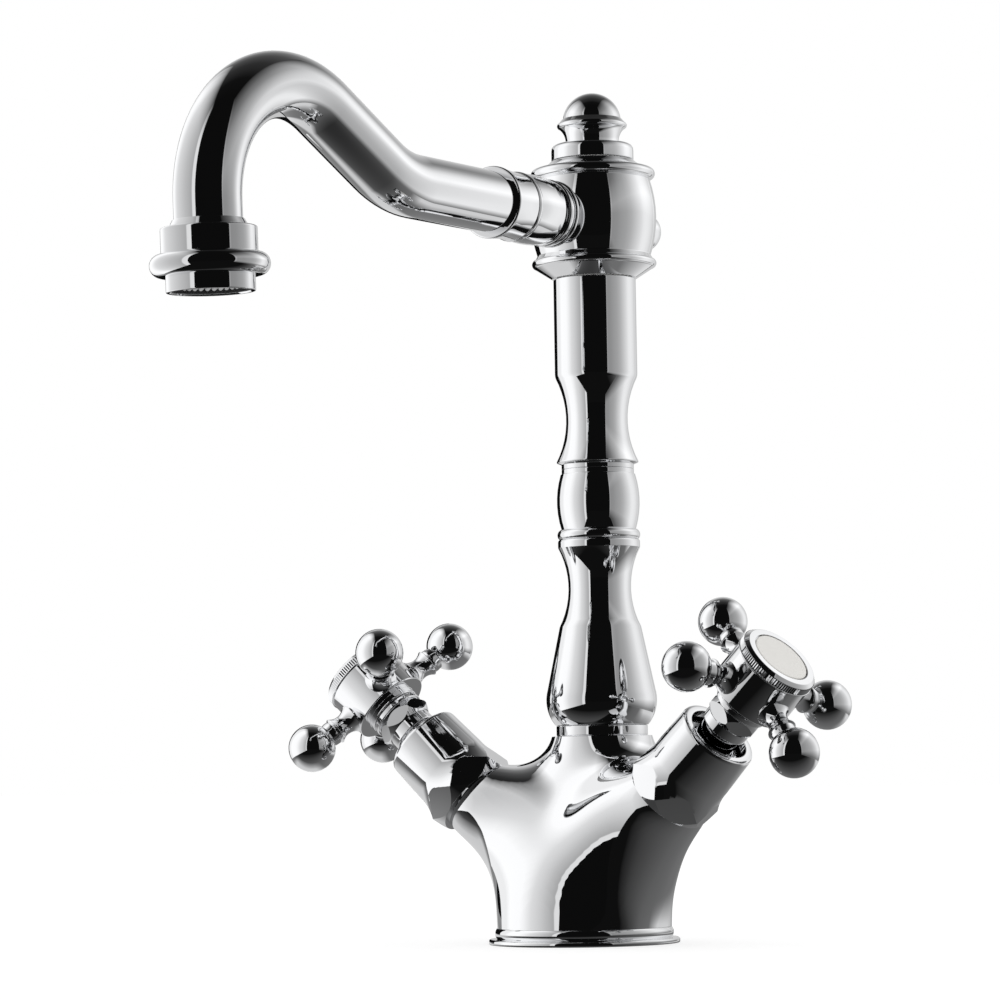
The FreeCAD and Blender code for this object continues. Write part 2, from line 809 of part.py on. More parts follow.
def make_housing():
    """Barrel that turns on the spigot, with bosses for the spout and the rear plug."""
    barrel_z = housing_z + s.barrel_at
    barrel_top = barrel_z + s.barrel_h
    collar_edge = s.collar_h - s.collar_cone_h
    collar_z = housing_z + s.collar_cone_h
    flange_edge = s.flange_r - s.flange_h * HALF
    flange_top = barrel_top + s.flange_h
    shell = turned("housing_shell", [
        (0, housing_z),
        (s.housing_foot_r, housing_z),
        (s.collar_r, collar_z),
        Via(s.collar_r, collar_z + collar_edge * HALF),
        (s.collar_r - collar_edge * HALF, collar_z + collar_edge),
        (s.barrel_end_r, barrel_z),
        Via(s.barrel_r, barrel_z + s.barrel_h * HALF),
        (s.barrel_end_r, barrel_top),
        (flange_edge, barrel_top),
        Via(s.flange_r, barrel_top + s.flange_h * HALF),
        (flange_edge, flange_top),
        (s.flange_top_r, housing_top),
        (0, housing_top),
    ])
    place(shell, column)
    boss = rod("spout_boss", s.boss_r, s.boss_end, along_spout)
    thread = rod("spout_thread", s.pipe_r, s.boss_end + s.boss_thread_h, along_spout)
    rear = rod("rear_boss", s.rear_boss_r, s.rear_boss_end, behind_spout)
    blank = fuse("housing_blank", [shell, boss, thread, rear])
    bore_r = s.spigot_r + s.running_fit
    recess_r = s.washer_r + s.swivel_gap
    chamber_z = spout_z - s.chamber_h * HALF
    core = turned("housing_core", [
        (0, housing_z),
        (recess_r, housing_z),
        (recess_r, column_top + s.washer_h),
        (bore_r, column_top + s.washer_h),
        (bore_r, chamber_z),
        (s.chamber_r, chamber_z),
        (s.chamber_r, chamber_z + s.chamber_h),
        (bore_r, chamber_z + s.chamber_h),
        (bore_r, cap_z - s.washer_h),
        (recess_r, cap_z - s.washer_h),
        (recess_r, housing_top),
        (0, housing_top),
    ])
    place(core, column)
    spout_bore = rod("spout_bore", s.boss_bore_r, s.boss_end + s.boss_thread_h, along_spout)
    rear_hole_h = s.rear_stem_h + s.fit
    rear_hole = rod("rear_hole", s.rear_stem_r + s.fit, rear_hole_h,
                    behind_spout, frame(z=s.rear_boss_end - rear_hole_h))
    piece("swivel_housing", cut("swivel_housing", blank, [core, spout_bore, rear_hole]))


def make_rear_plug():
    """Round-ended plug opposite the spout."""
    dome_z = s.rear_boss_end + s.rear_plug_h
    plug = turned("rear_plug", [
        (0, s.rear_boss_end - s.rear_stem_h),
        (s.rear_stem_r, s.rear_boss_end - s.rear_stem_h),
        (s.rear_stem_r, s.rear_boss_end),
        (s.rear_plug_r, s.rear_boss_end),
        (s.rear_plug_r, dome_z),
        Via(s.rear_plug_r * SIN_45, dome_z + s.rear_plug_r * SIN_45),
        (0, dome_z + s.rear_plug_r),
    ])
    piece("rear_plug", plug, behind_spout)


def make_union():
    """Union nut with a ring at each end, its seal, and the beaded sleeve on the pipe."""
    bore_r = s.pipe_r + s.fit
    end = s.boss_end + s.union_h
    nut = turned("spout_union", [
        (bore_r, s.boss_end),
        (s.union_r, s.boss_end),
        Via(s.union_ring_r, s.boss_end + s.union_ring_h * HALF),
        (s.union_r, s.boss_end + s.union_ring_h),
        (s.union_r, end - s.union_ring_h),
        Via(s.union_ring_r, end - s.union_ring_h * HALF),
        (s.union_r, end),
        (bore_r, end),
    ])
    piece("spout_union", nut, along_spout)
    seal_at = s.boss_end + s.boss_thread_h
    seal = ring("spout_seal", s.boss_bore_r, s.pipe_r, seal_at, seal_at + s.spout_seal_h)
    piece("spout_seal", seal, along_spout)
    bead_at = end + s.sleeve_h
    sleeve = turned("spout_collar", [
        (bore_r, end),
        (s.sleeve_r, end),
        (s.sleeve_r, bead_at),
        Via(s.sleeve_bead_r, bead_at + s.sleeve_bead_h * HALF),
        (s.sleeve_r, bead_at + s.sleeve_bead_h),
        (bore_r, bead_at + s.sleeve_bead_h),
    ])
    piece("spout_collar", sleeve, along_spout)


def make_pipe():
    """Swan neck: a level run, a bend up, a straight rise, and a bend down to the outlet."""
    start = s.boss_end + s.boss_thread_h + s.spout_seal_h
    body = doc.addObject("PartDesign::Body", "spout_pipe")
    spine = new_sketch(body, "XZ_Plane", "spout_spine")
    edges = draw(spine, [
        (start, spout_z),
        (knee, spout_z),
        Via(*low_via),
        low_end,
        rise_end,
        Via(*top_via),
        top_end,
        (top_end[0] + pipe_end * s.outlet_lean.sin(), top_end[1] + pipe_end * s.outlet_lean.cos()),
    ], closed=False)
    section = new_sketch(body, "YZ_Plane", "spout_section")
    section.setExpression("AttachmentOffset", frame(y=spout_z, z=start))
    for radius in (s.pipe_r, s.pipe_r - s.pipe_wall):
        circle = section.addGeometry(Part.Circle(FreeCAD.Vector(), FreeCAD.Vector(0, 0, 1), radius.value))
        section.addConstraint(Sketcher.Constraint("Coincident", circle, 3, -1, 1))
        index = section.addConstraint(Sketcher.Constraint("Radius", circle, radius.value))
        section.setExpression(f"Constraints[{index}]", radius.formula)
    run = body.newObject("PartDesign::AdditivePipe", "spout_run")
    run.Profile = section
    run.Spine = (spine, edges)
    piece("spout_pipe", body, spout_plane)


def make_outlet():
    """Beaded tip on the pipe's end, and the aerator that screws into it."""
    seal_z = tip_z + s.aerator_thread_h
    shoulder_z = seal_z + s.aerator_seal_h
    socket_r = s.pipe_r + s.fit
    thread_r = s.aerator_thread_r + s.fit
    tip = turned("spout_tip", [
        (thread_r, tip_z),
        (s.tip_r, tip_z),
        Via(s.tip_bead_r, tip_z + s.tip_bead_h * HALF),
        (s.tip_r, tip_bead_top),
        (s.tip_r, tip_top - s.tip_edge),
        Via(s.tip_r - s.tip_edge * (1 - SIN_45), tip_top - s.tip_edge * (1 - SIN_45)),
        (s.tip_r - s.tip_edge, tip_top),
        (s.tip_cone_r, tip_top + s.tip_cone_h),
        (socket_r, tip_top + s.tip_cone_h),
        (socket_r, pipe_end),
        (s.pipe_r - s.pipe_wall, pipe_end),
        (s.pipe_r - s.pipe_wall, shoulder_z),
        (thread_r, shoulder_z),
    ])
    piece("spout_tip", tip, outlet)
    insert_r = s.aerator_thread_r - s.aerator_wall
    insert_z = outlet_z + s.aerator_lip_h
    cup = turned("aerator_housing", [
        (s.aerator_mouth_r, outlet_z),
        (s.aerator_r, outlet_z),
        (s.aerator_r, tip_z),
        (s.aerator_thread_r, tip_z),
        (s.aerator_thread_r, seal_z),
        (insert_r, seal_z),
        (insert_r, insert_z),
        (s.aerator_mouth_r, insert_z),
    ])
    piece("aerator_housing", cup, outlet)
    seal = ring("aerator_seal", s.pipe_r - s.pipe_wall, s.aerator_thread_r, seal_z, shoulder_z)
    piece("aerator_seal", seal, outlet)
    blank = rod("insert_blank", insert_r - s.fit, s.insert_h, frame(z=insert_z))
    holes = []
    for number in range(int(s.insert_holes.value)):
        angle = Size.of(360 * number) / s.insert_holes
        centre = frame(x=s.insert_hole_pcd * HALF, z=insert_z)
        holes.append(rod(f"insert_hole_{number + 1}", s.insert_hole_r, s.insert_h, frame(yaw=angle), centre))
    piece("aerator_insert", cut("aerator_insert", blank, holes), outlet)


def make_shroud(side):
    """Cover sleeve of a valve, open at the top round the gland."""
    edge_at = s.arm_end + s.shroud_edge
    bend_at = s.arm_end + s.shroud_bend_h
    lip_at = shroud_top - s.shroud_lip
    mouth_at = shroud_top - s.shroud_mouth_h
    sleeve = turned(f"{side}_valve_shroud", [
        (s.shroud_bore_r, s.arm_end),
        (s.shroud_foot_r - s.shroud_edge, s.arm_end),
        Via(s.shroud_foot_r - s.shroud_edge * (1 - SIN_45), edge_at - s.shroud_edge * SIN_45),
        (s.shroud_foot_r, edge_at),
        (s.shroud_bend_r, bend_at),
        (s.shroud_rim_r, lip_at),
        Via(s.shroud_rim_r - s.shroud_lip * (1 - SIN_45), lip_at + s.shroud_lip * SIN_45),
        (s.shroud_rim_r - s.shroud_lip, shroud_top),
        (s.shroud_mouth_r, shroud_top),
        (s.shroud_mouth_r, mouth_at),
        (s.shroud_bore_r, mouth_at),
    ])
    piece(f"{side}_valve_shroud", sleeve, VALVES[side])


def make_disc(label, bottom, frames):
    """Ceramic disc with two round ports."""
    blank = rod(label + "_blank", s.disc_r, s.disc_h, frame(z=bottom))
    ports = []
    for way in (-1, 1):
        port = frame(x=s.disc_port_at * way, z=bottom)
        ports.append(rod(f"{label}_port_{len(ports) + 1}", s.disc_port_r, s.disc_h, port))
    piece(label, cut(label, blank, ports), *frames)


def make_headpart(side):
    """Valve headpart that stays still: seat seal, lower disc, shell and lock nut."""
    valve = VALVES[side]
    seal = ring(f"{side}_seat_seal", s.seat_bore_r, s.cartridge_r, s.seat_at, cartridge_foot)
    piece(f"{side}_seat_seal", seal, valve)
    make_disc(f"{side}_fixed_disc", cartridge_foot, [valve])
    bore_r = s.spindle_r + s.running_fit
    shell = turned(f"{side}_shell", [
        (s.cartridge_cavity_r, cartridge_foot),
        (s.cartridge_r, cartridge_foot),
        (s.cartridge_r, barrel_end),
        (s.gland_r, barrel_end),
        (s.gland_r, gland_end),
        (bore_r, gland_end),
        (bore_r, cavity_top),
        (s.cartridge_cavity_r, cavity_top),
    ])
    window_h = s.cartridge_r + s.cartridge_r
    windows = [
        rod(f"{side}_window_x", s.window_r, window_h, frame(x=-s.cartridge_r, z=s.cross_at, pitch=90)),
        rod(f"{side}_window_y", s.window_r, window_h, frame(y=-s.cartridge_r, z=s.cross_at, roll=-90)),
    ]
    piece(f"{side}_cartridge", cut(f"{side}_cartridge", shell, windows), valve)
    hexagon = doc.addObject("Part::Prism", f"{side}_hexagon")
    corner_r = s.nut_flats * HALF / COS_30
    bind(hexagon, Circumradius=corner_r, Height=s.nut_h)
    place(hexagon, frame(z=nut_bottom))
    bore = s.gland_r + s.fit
    flat_r = corner_r - s.nut_chamfer
    round_off = turned(f"{side}_nut_round", [
        (bore, nut_bottom),
        (flat_r, nut_bottom),
        (corner_r, nut_bottom + s.nut_chamfer),
        (corner_r, gland_end - s.nut_chamfer),
        (flat_r, gland_end),
        (bore, gland_end),
    ])
    nut = doc.addObject("Part::Common", f"{side}_lock_nut")
    nut.Base = hexagon
    nut.Tool = round_off
    piece(f"{side}_lock_nut", nut, valve)


def make_spindle(side):
    """Turning part of the valve: upper disc, spindle with its seal, and the handle's screw."""
    valve = VALVES[side]
    make_disc(f"{side}_moving_disc", moving_disc_at, [valve])
    seal_r = s.spindle_r + s.running_fit - s.seal_clear
    floor_r = seal_r - s.spindle_ring_r - s.spindle_ring_r
    foot_top = spindle_foot + s.spindle_foot_h
    screw_foot = s.ball_at + s.hub_floor - s.screw_h
    thread_r = s.screw_r + s.fit
    spindle = turned(f"{side}_spindle", [
        (0, spindle_foot),
        (s.disc_r, spindle_foot),
        (s.disc_r, foot_top),
        (s.spindle_r, foot_top),
        *ring_groove(floor_r, s.spindle_r, spindle_ring_at, s.spindle_ring_r),
        (s.spindle_r, hub_bottom),
        (s.spline_r, hub_bottom),
        (s.spline_r, spindle_top),
        (thread_r, spindle_top),
        (thread_r, screw_foot - s.fit),
        (0, screw_foot - s.fit),
    ])
    piece(f"{side}_spindle", spindle, valve)
    label = f"{side}_spindle_oring"
    piece(label, torus(label, floor_r, seal_r, valve, frame(z=spindle_ring_at)))
    head_z = s.ball_at + s.hub_floor
    screw = turned(f"{side}_handle_screw", [
        (0, screw_foot),
        (s.screw_r, screw_foot),
        (s.screw_r, head_z),
        (s.screw_head_r, head_z),
        (s.screw_head_r, head_z + s.screw_head_h),
        (0, head_z + s.screw_head_h),
    ])
    piece(f"{side}_handle_screw", screw, valve)


def arm_frame(side, number):
    """Frame of one handle arm: its Z axis runs out of the hub, in the plane of the balls."""
    return frame(z=s.ball_at, yaw=TURNS[side] + 360 * number / HANDLE_ARMS, pitch=90)


def make_hub(side):
    """Hub with a well for the bezel, a dished underside and a socket for each arm."""
    bottom = s.ball_at - s.hub_drop
    top = s.ball_at + s.hub_rise
    floor = s.ball_at + s.hub_floor
    spline_hole_r = s.spline_r + s.fit
    blank = turned(f"{side}_hub_blank", [
        (spline_hole_r, hub_bottom),
        (s.hub_collar_r, hub_bottom),
        (s.hub_collar_r, bottom + s.hub_dish_h),
        (s.hub_dish_r, bottom + s.hub_dish_h),
        (s.hub_dish_r, bottom),
        (s.hub_r, bottom),
        (s.hub_r, top),
        (s.hub_well_r + s.fit, top),
        (s.hub_well_r + s.fit, floor),
        (s.screw_r + s.fit, floor),
        (s.screw_r + s.fit, spindle_top),
        (spline_hole_r, spindle_top),
    ])
    socket_at = s.arm_stud_at - s.fit
    sockets = []
    for number in range(HANDLE_ARMS):
        name = f"{side}_socket_{number + 1}"
        start = frame(z=socket_at)
        sockets.append(rod(name, s.arm_stud_r + s.fit, s.hub_r - socket_at, arm_frame(side, number), start))
    piece(f"{side}_handle_hub", cut(f"{side}_handle_hub", blank, sockets), VALVES[side])


def make_arm(side, number):
    """Handle arm: a bell on the hub, a waist, a flare and ring, and the ball."""
    label = f"{side}_handle_arm_{number + 1}"
    ring_at = s.arm_flare_at + s.arm_ring_h
    shaped = turned(label + "_form", [
        (0, 0),
        (s.arm_bell_r, 0),
        (s.arm_bell_r, s.hub_r),
        Via(s.arm_waist_r, s.arm_waist_at),
        (s.arm_flare_r, s.arm_flare_at),
        (s.arm_ring_r, s.arm_flare_at),
        (s.arm_ring_r, ring_at + s.ball_r * HALF),
        (0, ring_at + s.ball_r * HALF),
    ])
    hub_length = s.ball_r + s.ball_r
    hub_space = rod(label + "_hub_space", s.hub_r + s.fit, hub_length, frame(x=-s.ball_r, pitch=90))
    outer = cut(label + "_neck", shaped, [hub_space])
    stud = rod(label + "_stud", s.arm_stud_r, s.arm_flare_at - s.arm_stud_at, frame(z=s.arm_stud_at))
    ball = doc.addObject("Part::Sphere", label + "_ball")
    bind(ball, Radius=s.ball_r)
    place(ball, frame(z=s.ball_reach))
    arm = fuse(label, [outer, stud, ball])
    piece(label, arm, VALVES[side], arm_frame(side, number))


def make_index(side):
    """Bezel that screws into the hub's well, and the plain disc in its recess."""
    base = s.ball_at + s.hub_rise
    flange_top = base + s.bezel_flange_h
    knurl_top = flange_top + s.bezel_knurl_h
    top = base + s.bezel_h
    recess = top - s.index_h
    recess_r = s.index_r + s.index_gap
    bezel = turned(f"{side}_index_bezel", [
        (s.bezel_bore_r, base - s.bezel_thread_h),
        (s.hub_well_r, base - s.bezel_thread_h),
        (s.hub_well_r, base),
        (s.bezel_flange_r, base),
        (s.bezel_flange_r, flange_top),
        (s.bezel_knurl_r, flange_top),
        (s.bezel_knurl_r, knurl_top),
        (s.bezel_top_r, top),
        (recess_r, top),
        (recess_r, recess),
        (s.bezel_bore_r, recess),
    ])
    piece(f"{side}_index_bezel", bezel, VALVES[side])
    rim = top - s.index_edge
    disc = turned(f"{side}_index_disc", [
        (0, recess),
        (s.index_r, recess),
        (s.index_r, rim),
        Via(s.index_r - s.index_edge * (1 - SIN_45), rim + s.index_edge * SIN_45),
        (s.index_r - s.index_edge, top),
        (0, top),
    ])
    piece(f"{side}_index_disc", disc, VALVES[side])


def find_faults():
    """Objects that failed to compute, and sub-parts without a sound solid."""
    faults = []
    for item in doc.Objects:
        if {"Invalid", "Error"} & set(item.State):
            faults.append(f"{item.Label}: {item.State}")
    for item in pieces:
        if item.Shape.isNull() or not item.Shape.isValid() or not item.Shape.Solids:
            faults.append(f"{item.Label}: no sound solid")
    return faults


make_base()
make_body()
make_column()
make_swivel()
make_housing()
make_rear_plug()
make_union()
make_pipe()
make_outlet()
for side_name in SIDES:
    make_shroud(side_name)
    make_headpart(side_name)
    make_spindle(side_name)
    make_hub(side_name)
    for arm_number in range(HANDLE_ARMS):
        make_arm(side_name, arm_number)
    make_index(side_name)
doc.recompute()

problems = find_faults()
if problems:
    raise RuntimeError("; ".join(problems))
os.makedirs("parts", exist_ok=True)
for item in pieces:
    item.Shape.exportStep(f"parts/{item.Label}.step")
print(len(pieces), "sub-parts written")
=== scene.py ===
"""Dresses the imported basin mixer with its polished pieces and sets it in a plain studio.

Sizes are in millimetres in the row frame: Z up, the user on the -Y side, cold on the +X side.
"""

import logging
import math
from dataclasses import dataclass
from enum import Enum

import bmesh
import bpy
from mathutils import Matrix, Quaternion, Vector


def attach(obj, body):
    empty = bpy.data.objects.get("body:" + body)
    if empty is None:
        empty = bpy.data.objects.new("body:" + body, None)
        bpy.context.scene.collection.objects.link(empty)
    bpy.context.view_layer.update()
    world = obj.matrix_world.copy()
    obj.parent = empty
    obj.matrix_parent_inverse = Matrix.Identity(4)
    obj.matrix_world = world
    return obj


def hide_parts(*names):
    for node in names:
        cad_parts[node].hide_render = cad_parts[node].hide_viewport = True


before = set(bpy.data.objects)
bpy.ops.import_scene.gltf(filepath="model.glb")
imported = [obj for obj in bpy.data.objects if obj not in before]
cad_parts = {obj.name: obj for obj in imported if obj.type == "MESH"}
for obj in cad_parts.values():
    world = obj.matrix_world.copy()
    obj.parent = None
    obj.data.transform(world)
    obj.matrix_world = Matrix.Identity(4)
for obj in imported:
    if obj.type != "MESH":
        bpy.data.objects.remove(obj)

MM = 0.001
LOG = logging.getLogger("basin_mixer")

UP = Vector((0, 0, 1))
DIAGONAL = math.sqrt(0.5)
ROUND_STEPS = 112
ARM_STEPS = 64
SMALL_STEPS = 48
PEG_STEPS = 12
ARC_STEP = math.radians(5)
ARC_LEAST = 6
# Radii that break the corners of turned pieces
HAIR = 0.05
CRISP = 0.1
KEEN = 0.15
FINE = 0.2
EDGE = 0.22
SOFT = 0.3
BLUNT = 0.4
FULL = 0.5
EDGE_STEPS = 4
CORNER_SHARE = 0.45
NO_LENGTH = 0.00022
SHARP_TURN = math.radians(14)
MERGE = 1e-6
SMOOTH_ANGLE = math.radians(38)
KNURL_ANGLE = math.radians(30)
WRENCH_ANGLE = math.radians(25)


class Side(Enum):
    """The two valves, by the way along X that they lean."""

    HOT = -1
    COLD = 1

    @property
    def label(self) -> str:
        """Start of the names of this side's nodes."""
        return self.name.lower()


# Turns of each side's handle, cover sleeve and lock nut about the valve's axis, in degrees
TURNS = {Side.HOT: (39.75, 7.0, -11.5), Side.COLD: (74.25, 19.0, 26.5)}


class Body(Enum):
    """The bodies of the part that pieces ride on."""

    MIXER = "mixer"
    HOT_HANDLE = "hot_handle"
    COLD_HANDLE = "cold_handle"
    SPOUT = "spout"


class Slot(Enum):
    """The material slots of the record."""

    CHROME = "chrome"
    BRASS = "brass"
    STEEL = "steel"
    RUBBER = "rubber"
    WASHER = "washer"
    CERAMIC = "ceramic"
    INDEX = "index"
    AERATOR = "aerator"


class Value:
    """A number socket of a node tree that can stand in a sum."""

    def __init__(self, tree: "Tree", socket: bpy.types.NodeSocket) -> None:
        """Keeps the socket and the tree that it is in."""
        self.tree = tree
        self.socket = socket

    def _sum(self, operation: str, first: "Value | float", second: "Value | float") -> "Value":
        """Adds a Math node.

        Args:
            operation: The Math node's operation.
            first: Left side of the sum.
            second: Right side of the sum.

        Returns:
            The sum as a value.
        """
        node = self.tree.node("ShaderNodeMath", {"operation": operation}, {0: first, 1: second})
        return Value(self.tree, node.outputs[0])

    def __add__(self, other: "Value | float") -> "Value":
        """Sum."""
        return self._sum("ADD", self, other)

    def __radd__(self, other: float) -> "Value":
        """Sum with a number on the left."""
        return self._sum("ADD", other, self)

    def __sub__(self, other: "Value | float") -> "Value":
        """Difference."""
        return self._sum("SUBTRACT", self, other)

    def __rsub__(self, other: float) -> "Value":
        """Difference from a number on the left."""
        return self._sum("SUBTRACT", other, self)

    def __mul__(self, other: "Value | float") -> "Value":
        """Product."""
        return self._sum("MULTIPLY", self, other)

    def __rmul__(self, other: float) -> "Value":
        """Product with a number on the left."""
        return self._sum("MULTIPLY", other, self)


class Tree:
    """Node tree of a material or of the world."""

    def __init__(self, owner: bpy.types.Material | bpy.types.World) -> None:
        """Empties the owner's tree.

        Args:
            owner: The material or world.
        """
        owner.use_nodes = True
        self.tree = owner.node_tree
        self.tree.nodes.clear()

    def node(self, kind: str, settings: dict | None = None, sockets: dict | None = None) -> bpy.types.Node:
        """Adds a node.

        Args:
            kind: Type of node.
            settings: Properties of the node, set first. "stops" are a ramp's (place, colour) pairs.
            sockets: Values or links, by socket name or number.

        Returns:
            The node.
        """
        node = self.tree.nodes.new(kind)
        for name, setting in (settings or {}).items():
            if name == "stops":
                self._set_stops(node.color_ramp, setting)
            else:
                setattr(node, name, setting)
        for name, given in (sockets or {}).items():
            if isinstance(given, Value):
                self.tree.links.new(given.socket, node.inputs[name])
            elif isinstance(given, bpy.types.NodeSocket):
                self.tree.links.new(given, node.inputs[name])
            else:
                node.inputs[name].default_value = given
        return node

    @staticmethod
    def _set_stops(ramp: bpy.types.ColorRamp, stops: list) -> None:
        """Gives a ramp its stops.

        Args:
            ramp: The ramp.
            stops: Pairs of place and colour.
        """
        while len(ramp.elements) < len(stops):
            ramp.elements.new(1.0)
        for element, (place, tone) in zip(ramp.elements, stops):
            element.position = place
            element.color = tone

    def value(self, node: bpy.types.Node, output: str | int = 0) -> Value:
        """One of a node's outputs as a value."""
        return Value(self, node.outputs[output])

    def object_place(self) -> bpy.types.NodeSocket:
        """Object coordinates, in metres in the row frame."""
        return self.node("ShaderNodeTexCoord").outputs["Object"]

    def noise(self, scale: float, detail: float = 2.0) -> Value:
        """Soft noise on the object.

        Args:
            scale: Spots per metre.
            detail: Finer layers.

        Returns:
            The noise, from 0 to 1.
        """
        sockets = {"Vector": self.object_place(), "Scale": scale, "Detail": detail}
        return self.value(self.node("ShaderNodeTexNoise", None, sockets), "Fac")

    def blend(self, share: Value, first: tuple, second: tuple) -> bpy.types.NodeSocket:
        """Mixes two colours.

        Args:
            share: Share of the second colour.
            first: A colour.
            second: Another colour.

        Returns:
            The mixed colour's socket.
        """
        node = self.node("ShaderNodeMix", {"data_type": "RGBA"}, {"Factor": share, 6: first, 7: second})
        return node.outputs[2]

    def layered(self, kind: str, first: bpy.types.NodeSocket,
                second: bpy.types.NodeSocket) -> bpy.types.NodeSocket:
        """Lays one tone over another.

        Args:
            kind: How they are laid, as the Mix node names it.
            first: A tone.
            second: Another tone.

        Returns:
            The tone's socket.
        """
        settings = {"data_type": "RGBA", "blend_type": kind}
        return self.node("ShaderNodeMix", settings, {"Factor": 1.0, 6: first, 7: second}).outputs[2]

    def surface(self, shader: bpy.types.Node, output: str = "ShaderNodeOutputMaterial") -> None:
        """Sends a shader to the output."""
        self.node(output, None, {"Surface": shader.outputs[0]})

    def glow(self, tone: bpy.types.NodeSocket | tuple) -> None:
        """Makes the finish shine by itself in a tone."""
        self.surface(self.node("ShaderNodeEmission", None, {"Color": tone, "Strength": 1.0}))


def colour(red: float, green: float, blue: float) -> tuple:
    """A colour with its alpha."""
    return (red, green, blue, 1.0)


WHITE = colour(1, 1, 1)


def greys(stops: list) -> list:
    """A ramp's stops with their levels as greys."""
    return [(place, colour(level, level, level)) for place, level in stops]


@dataclass(frozen=True)
class Finish:
    """A surface finish that varies a little over the piece."""

    name: str
    base: tuple
    other: tuple
    metallic: float
    smoothest: float
    roughest: float
    mottle: float
    grain: float
    ripple: float = 0.0
    ripple_scale: float = 90.0
    coat: float = 0.0
    grain_detail: float = 4.0

    def material(self) -> bpy.types.Material:
        """Makes the finish's material.

        Returns:
            The material.
        """
        made = bpy.data.materials.new(self.name)
        tree = Tree(made)
        tone = tree.blend(tree.noise(self.mottle), self.base, self.other)
        rough = self.smoothest + tree.noise(self.grain, self.grain_detail) * (self.roughest - self.smoothest)
        sockets = {"Base Color": tone, "Roughness": rough, "Metallic": self.metallic,
                   "Coat Weight": self.coat}
        if self.ripple:
            wave = tree.noise(self.ripple_scale)
            bump = tree.node("ShaderNodeBump", None, {"Height": wave, "Distance": self.ripple * MM})
            sockets["Normal"] = bump.outputs[0]
        tree.surface(tree.node("ShaderNodeBsdfPrincipled", None, sockets))
        return made


FINISHES = {
    Slot.CHROME: Finish("polished_chrome", colour(0.90, 0.905, 0.915), colour(0.86, 0.866, 0.88),
                        1.0, 0.012, 0.035, 35.0, 900.0),
    Slot.BRASS: Finish("turned_brass", colour(0.78, 0.62, 0.33), colour(0.70, 0.54, 0.27),
                       1.0, 0.16, 0.32, 300.0, 2500.0),
    Slot.STEEL: Finish("plain_steel", colour(0.62, 0.63, 0.65), colour(0.52, 0.53, 0.55),
                       1.0, 0.22, 0.40, 260.0, 2200.0),
    Slot.RUBBER: Finish("black_rubber", colour(0.050, 0.050, 0.052), colour(0.030, 0.030, 0.032),
                        0.0, 0.62, 0.85, 400.0, 1800.0),
    Slot.WASHER: Finish("bearing_plastic", colour(0.90, 0.90, 0.88), colour(0.84, 0.84, 0.82),
                        0.0, 0.35, 0.55, 240.0, 1500.0),
    Slot.CERAMIC: Finish("lapped_ceramic", colour(0.95, 0.94, 0.91), colour(0.90, 0.89, 0.86),
                         0.0, 0.12, 0.22, 240.0, 1500.0),
    Slot.INDEX: Finish("cream_porcelain", colour(0.78, 0.765, 0.73), colour(0.74, 0.725, 0.69),
                       0.0, 0.16, 0.26, 160.0, 900.0, ripple=0.004, coat=0.35),
    Slot.AERATOR: Finish("moulded_insert", colour(0.92, 0.93, 0.93), colour(0.84, 0.85, 0.85),
                         0.0, 0.35, 0.55, 300.0, 1600.0),
}


class Paints:
    """Makes each finish once and gives it to pieces."""

    def __init__(self) -> None:
        """Makes the materials."""
        self.made = {slot: finish.material() for slot, finish in FINISHES.items()}

    def dress(self, piece: bpy.types.Object, slot: Slot) -> None:
        """Gives a piece its finish all over.

        Args:
            piece: The piece.
            slot: Its material slot.
        """
        piece.data.materials.clear()
        piece.data.materials.append(self.made[slot])

    def dress_node(self, node: bpy.types.Object) -> None:
        """Swaps a CAD node's plain material for the finish of the same slot.

        Args:
            node: The CAD node.
        """
        for holder in node.material_slots:
            slot = Slot(holder.material.name.split(".")[0])
            holder.material = self.made[slot]


def frame(x: float = 0, y: float = 0, z: float = 0,
          yaw: float = 0, pitch: float = 0, roll: float = 0) -> Matrix:
    """Frame at a place in millimetres, turned about its own Z, then Y, then X in degrees.

    Args:
        x: Place across.
        y: Place from front to back.
        z: Height.
        yaw: Turn about Z.
        pitch: Turn about Y.
        roll: Turn about X.

    Returns:
        The frame in metres.
    """
    turn = Matrix.Rotation(math.radians(yaw), 4, "Z") @ Matrix.Rotation(math.radians(pitch), 4, "Y")
    turn = turn @ Matrix.Rotation(math.radians(roll), 4, "X")
    return Matrix.Translation(Vector((x, y, z)) * MM) @ turn


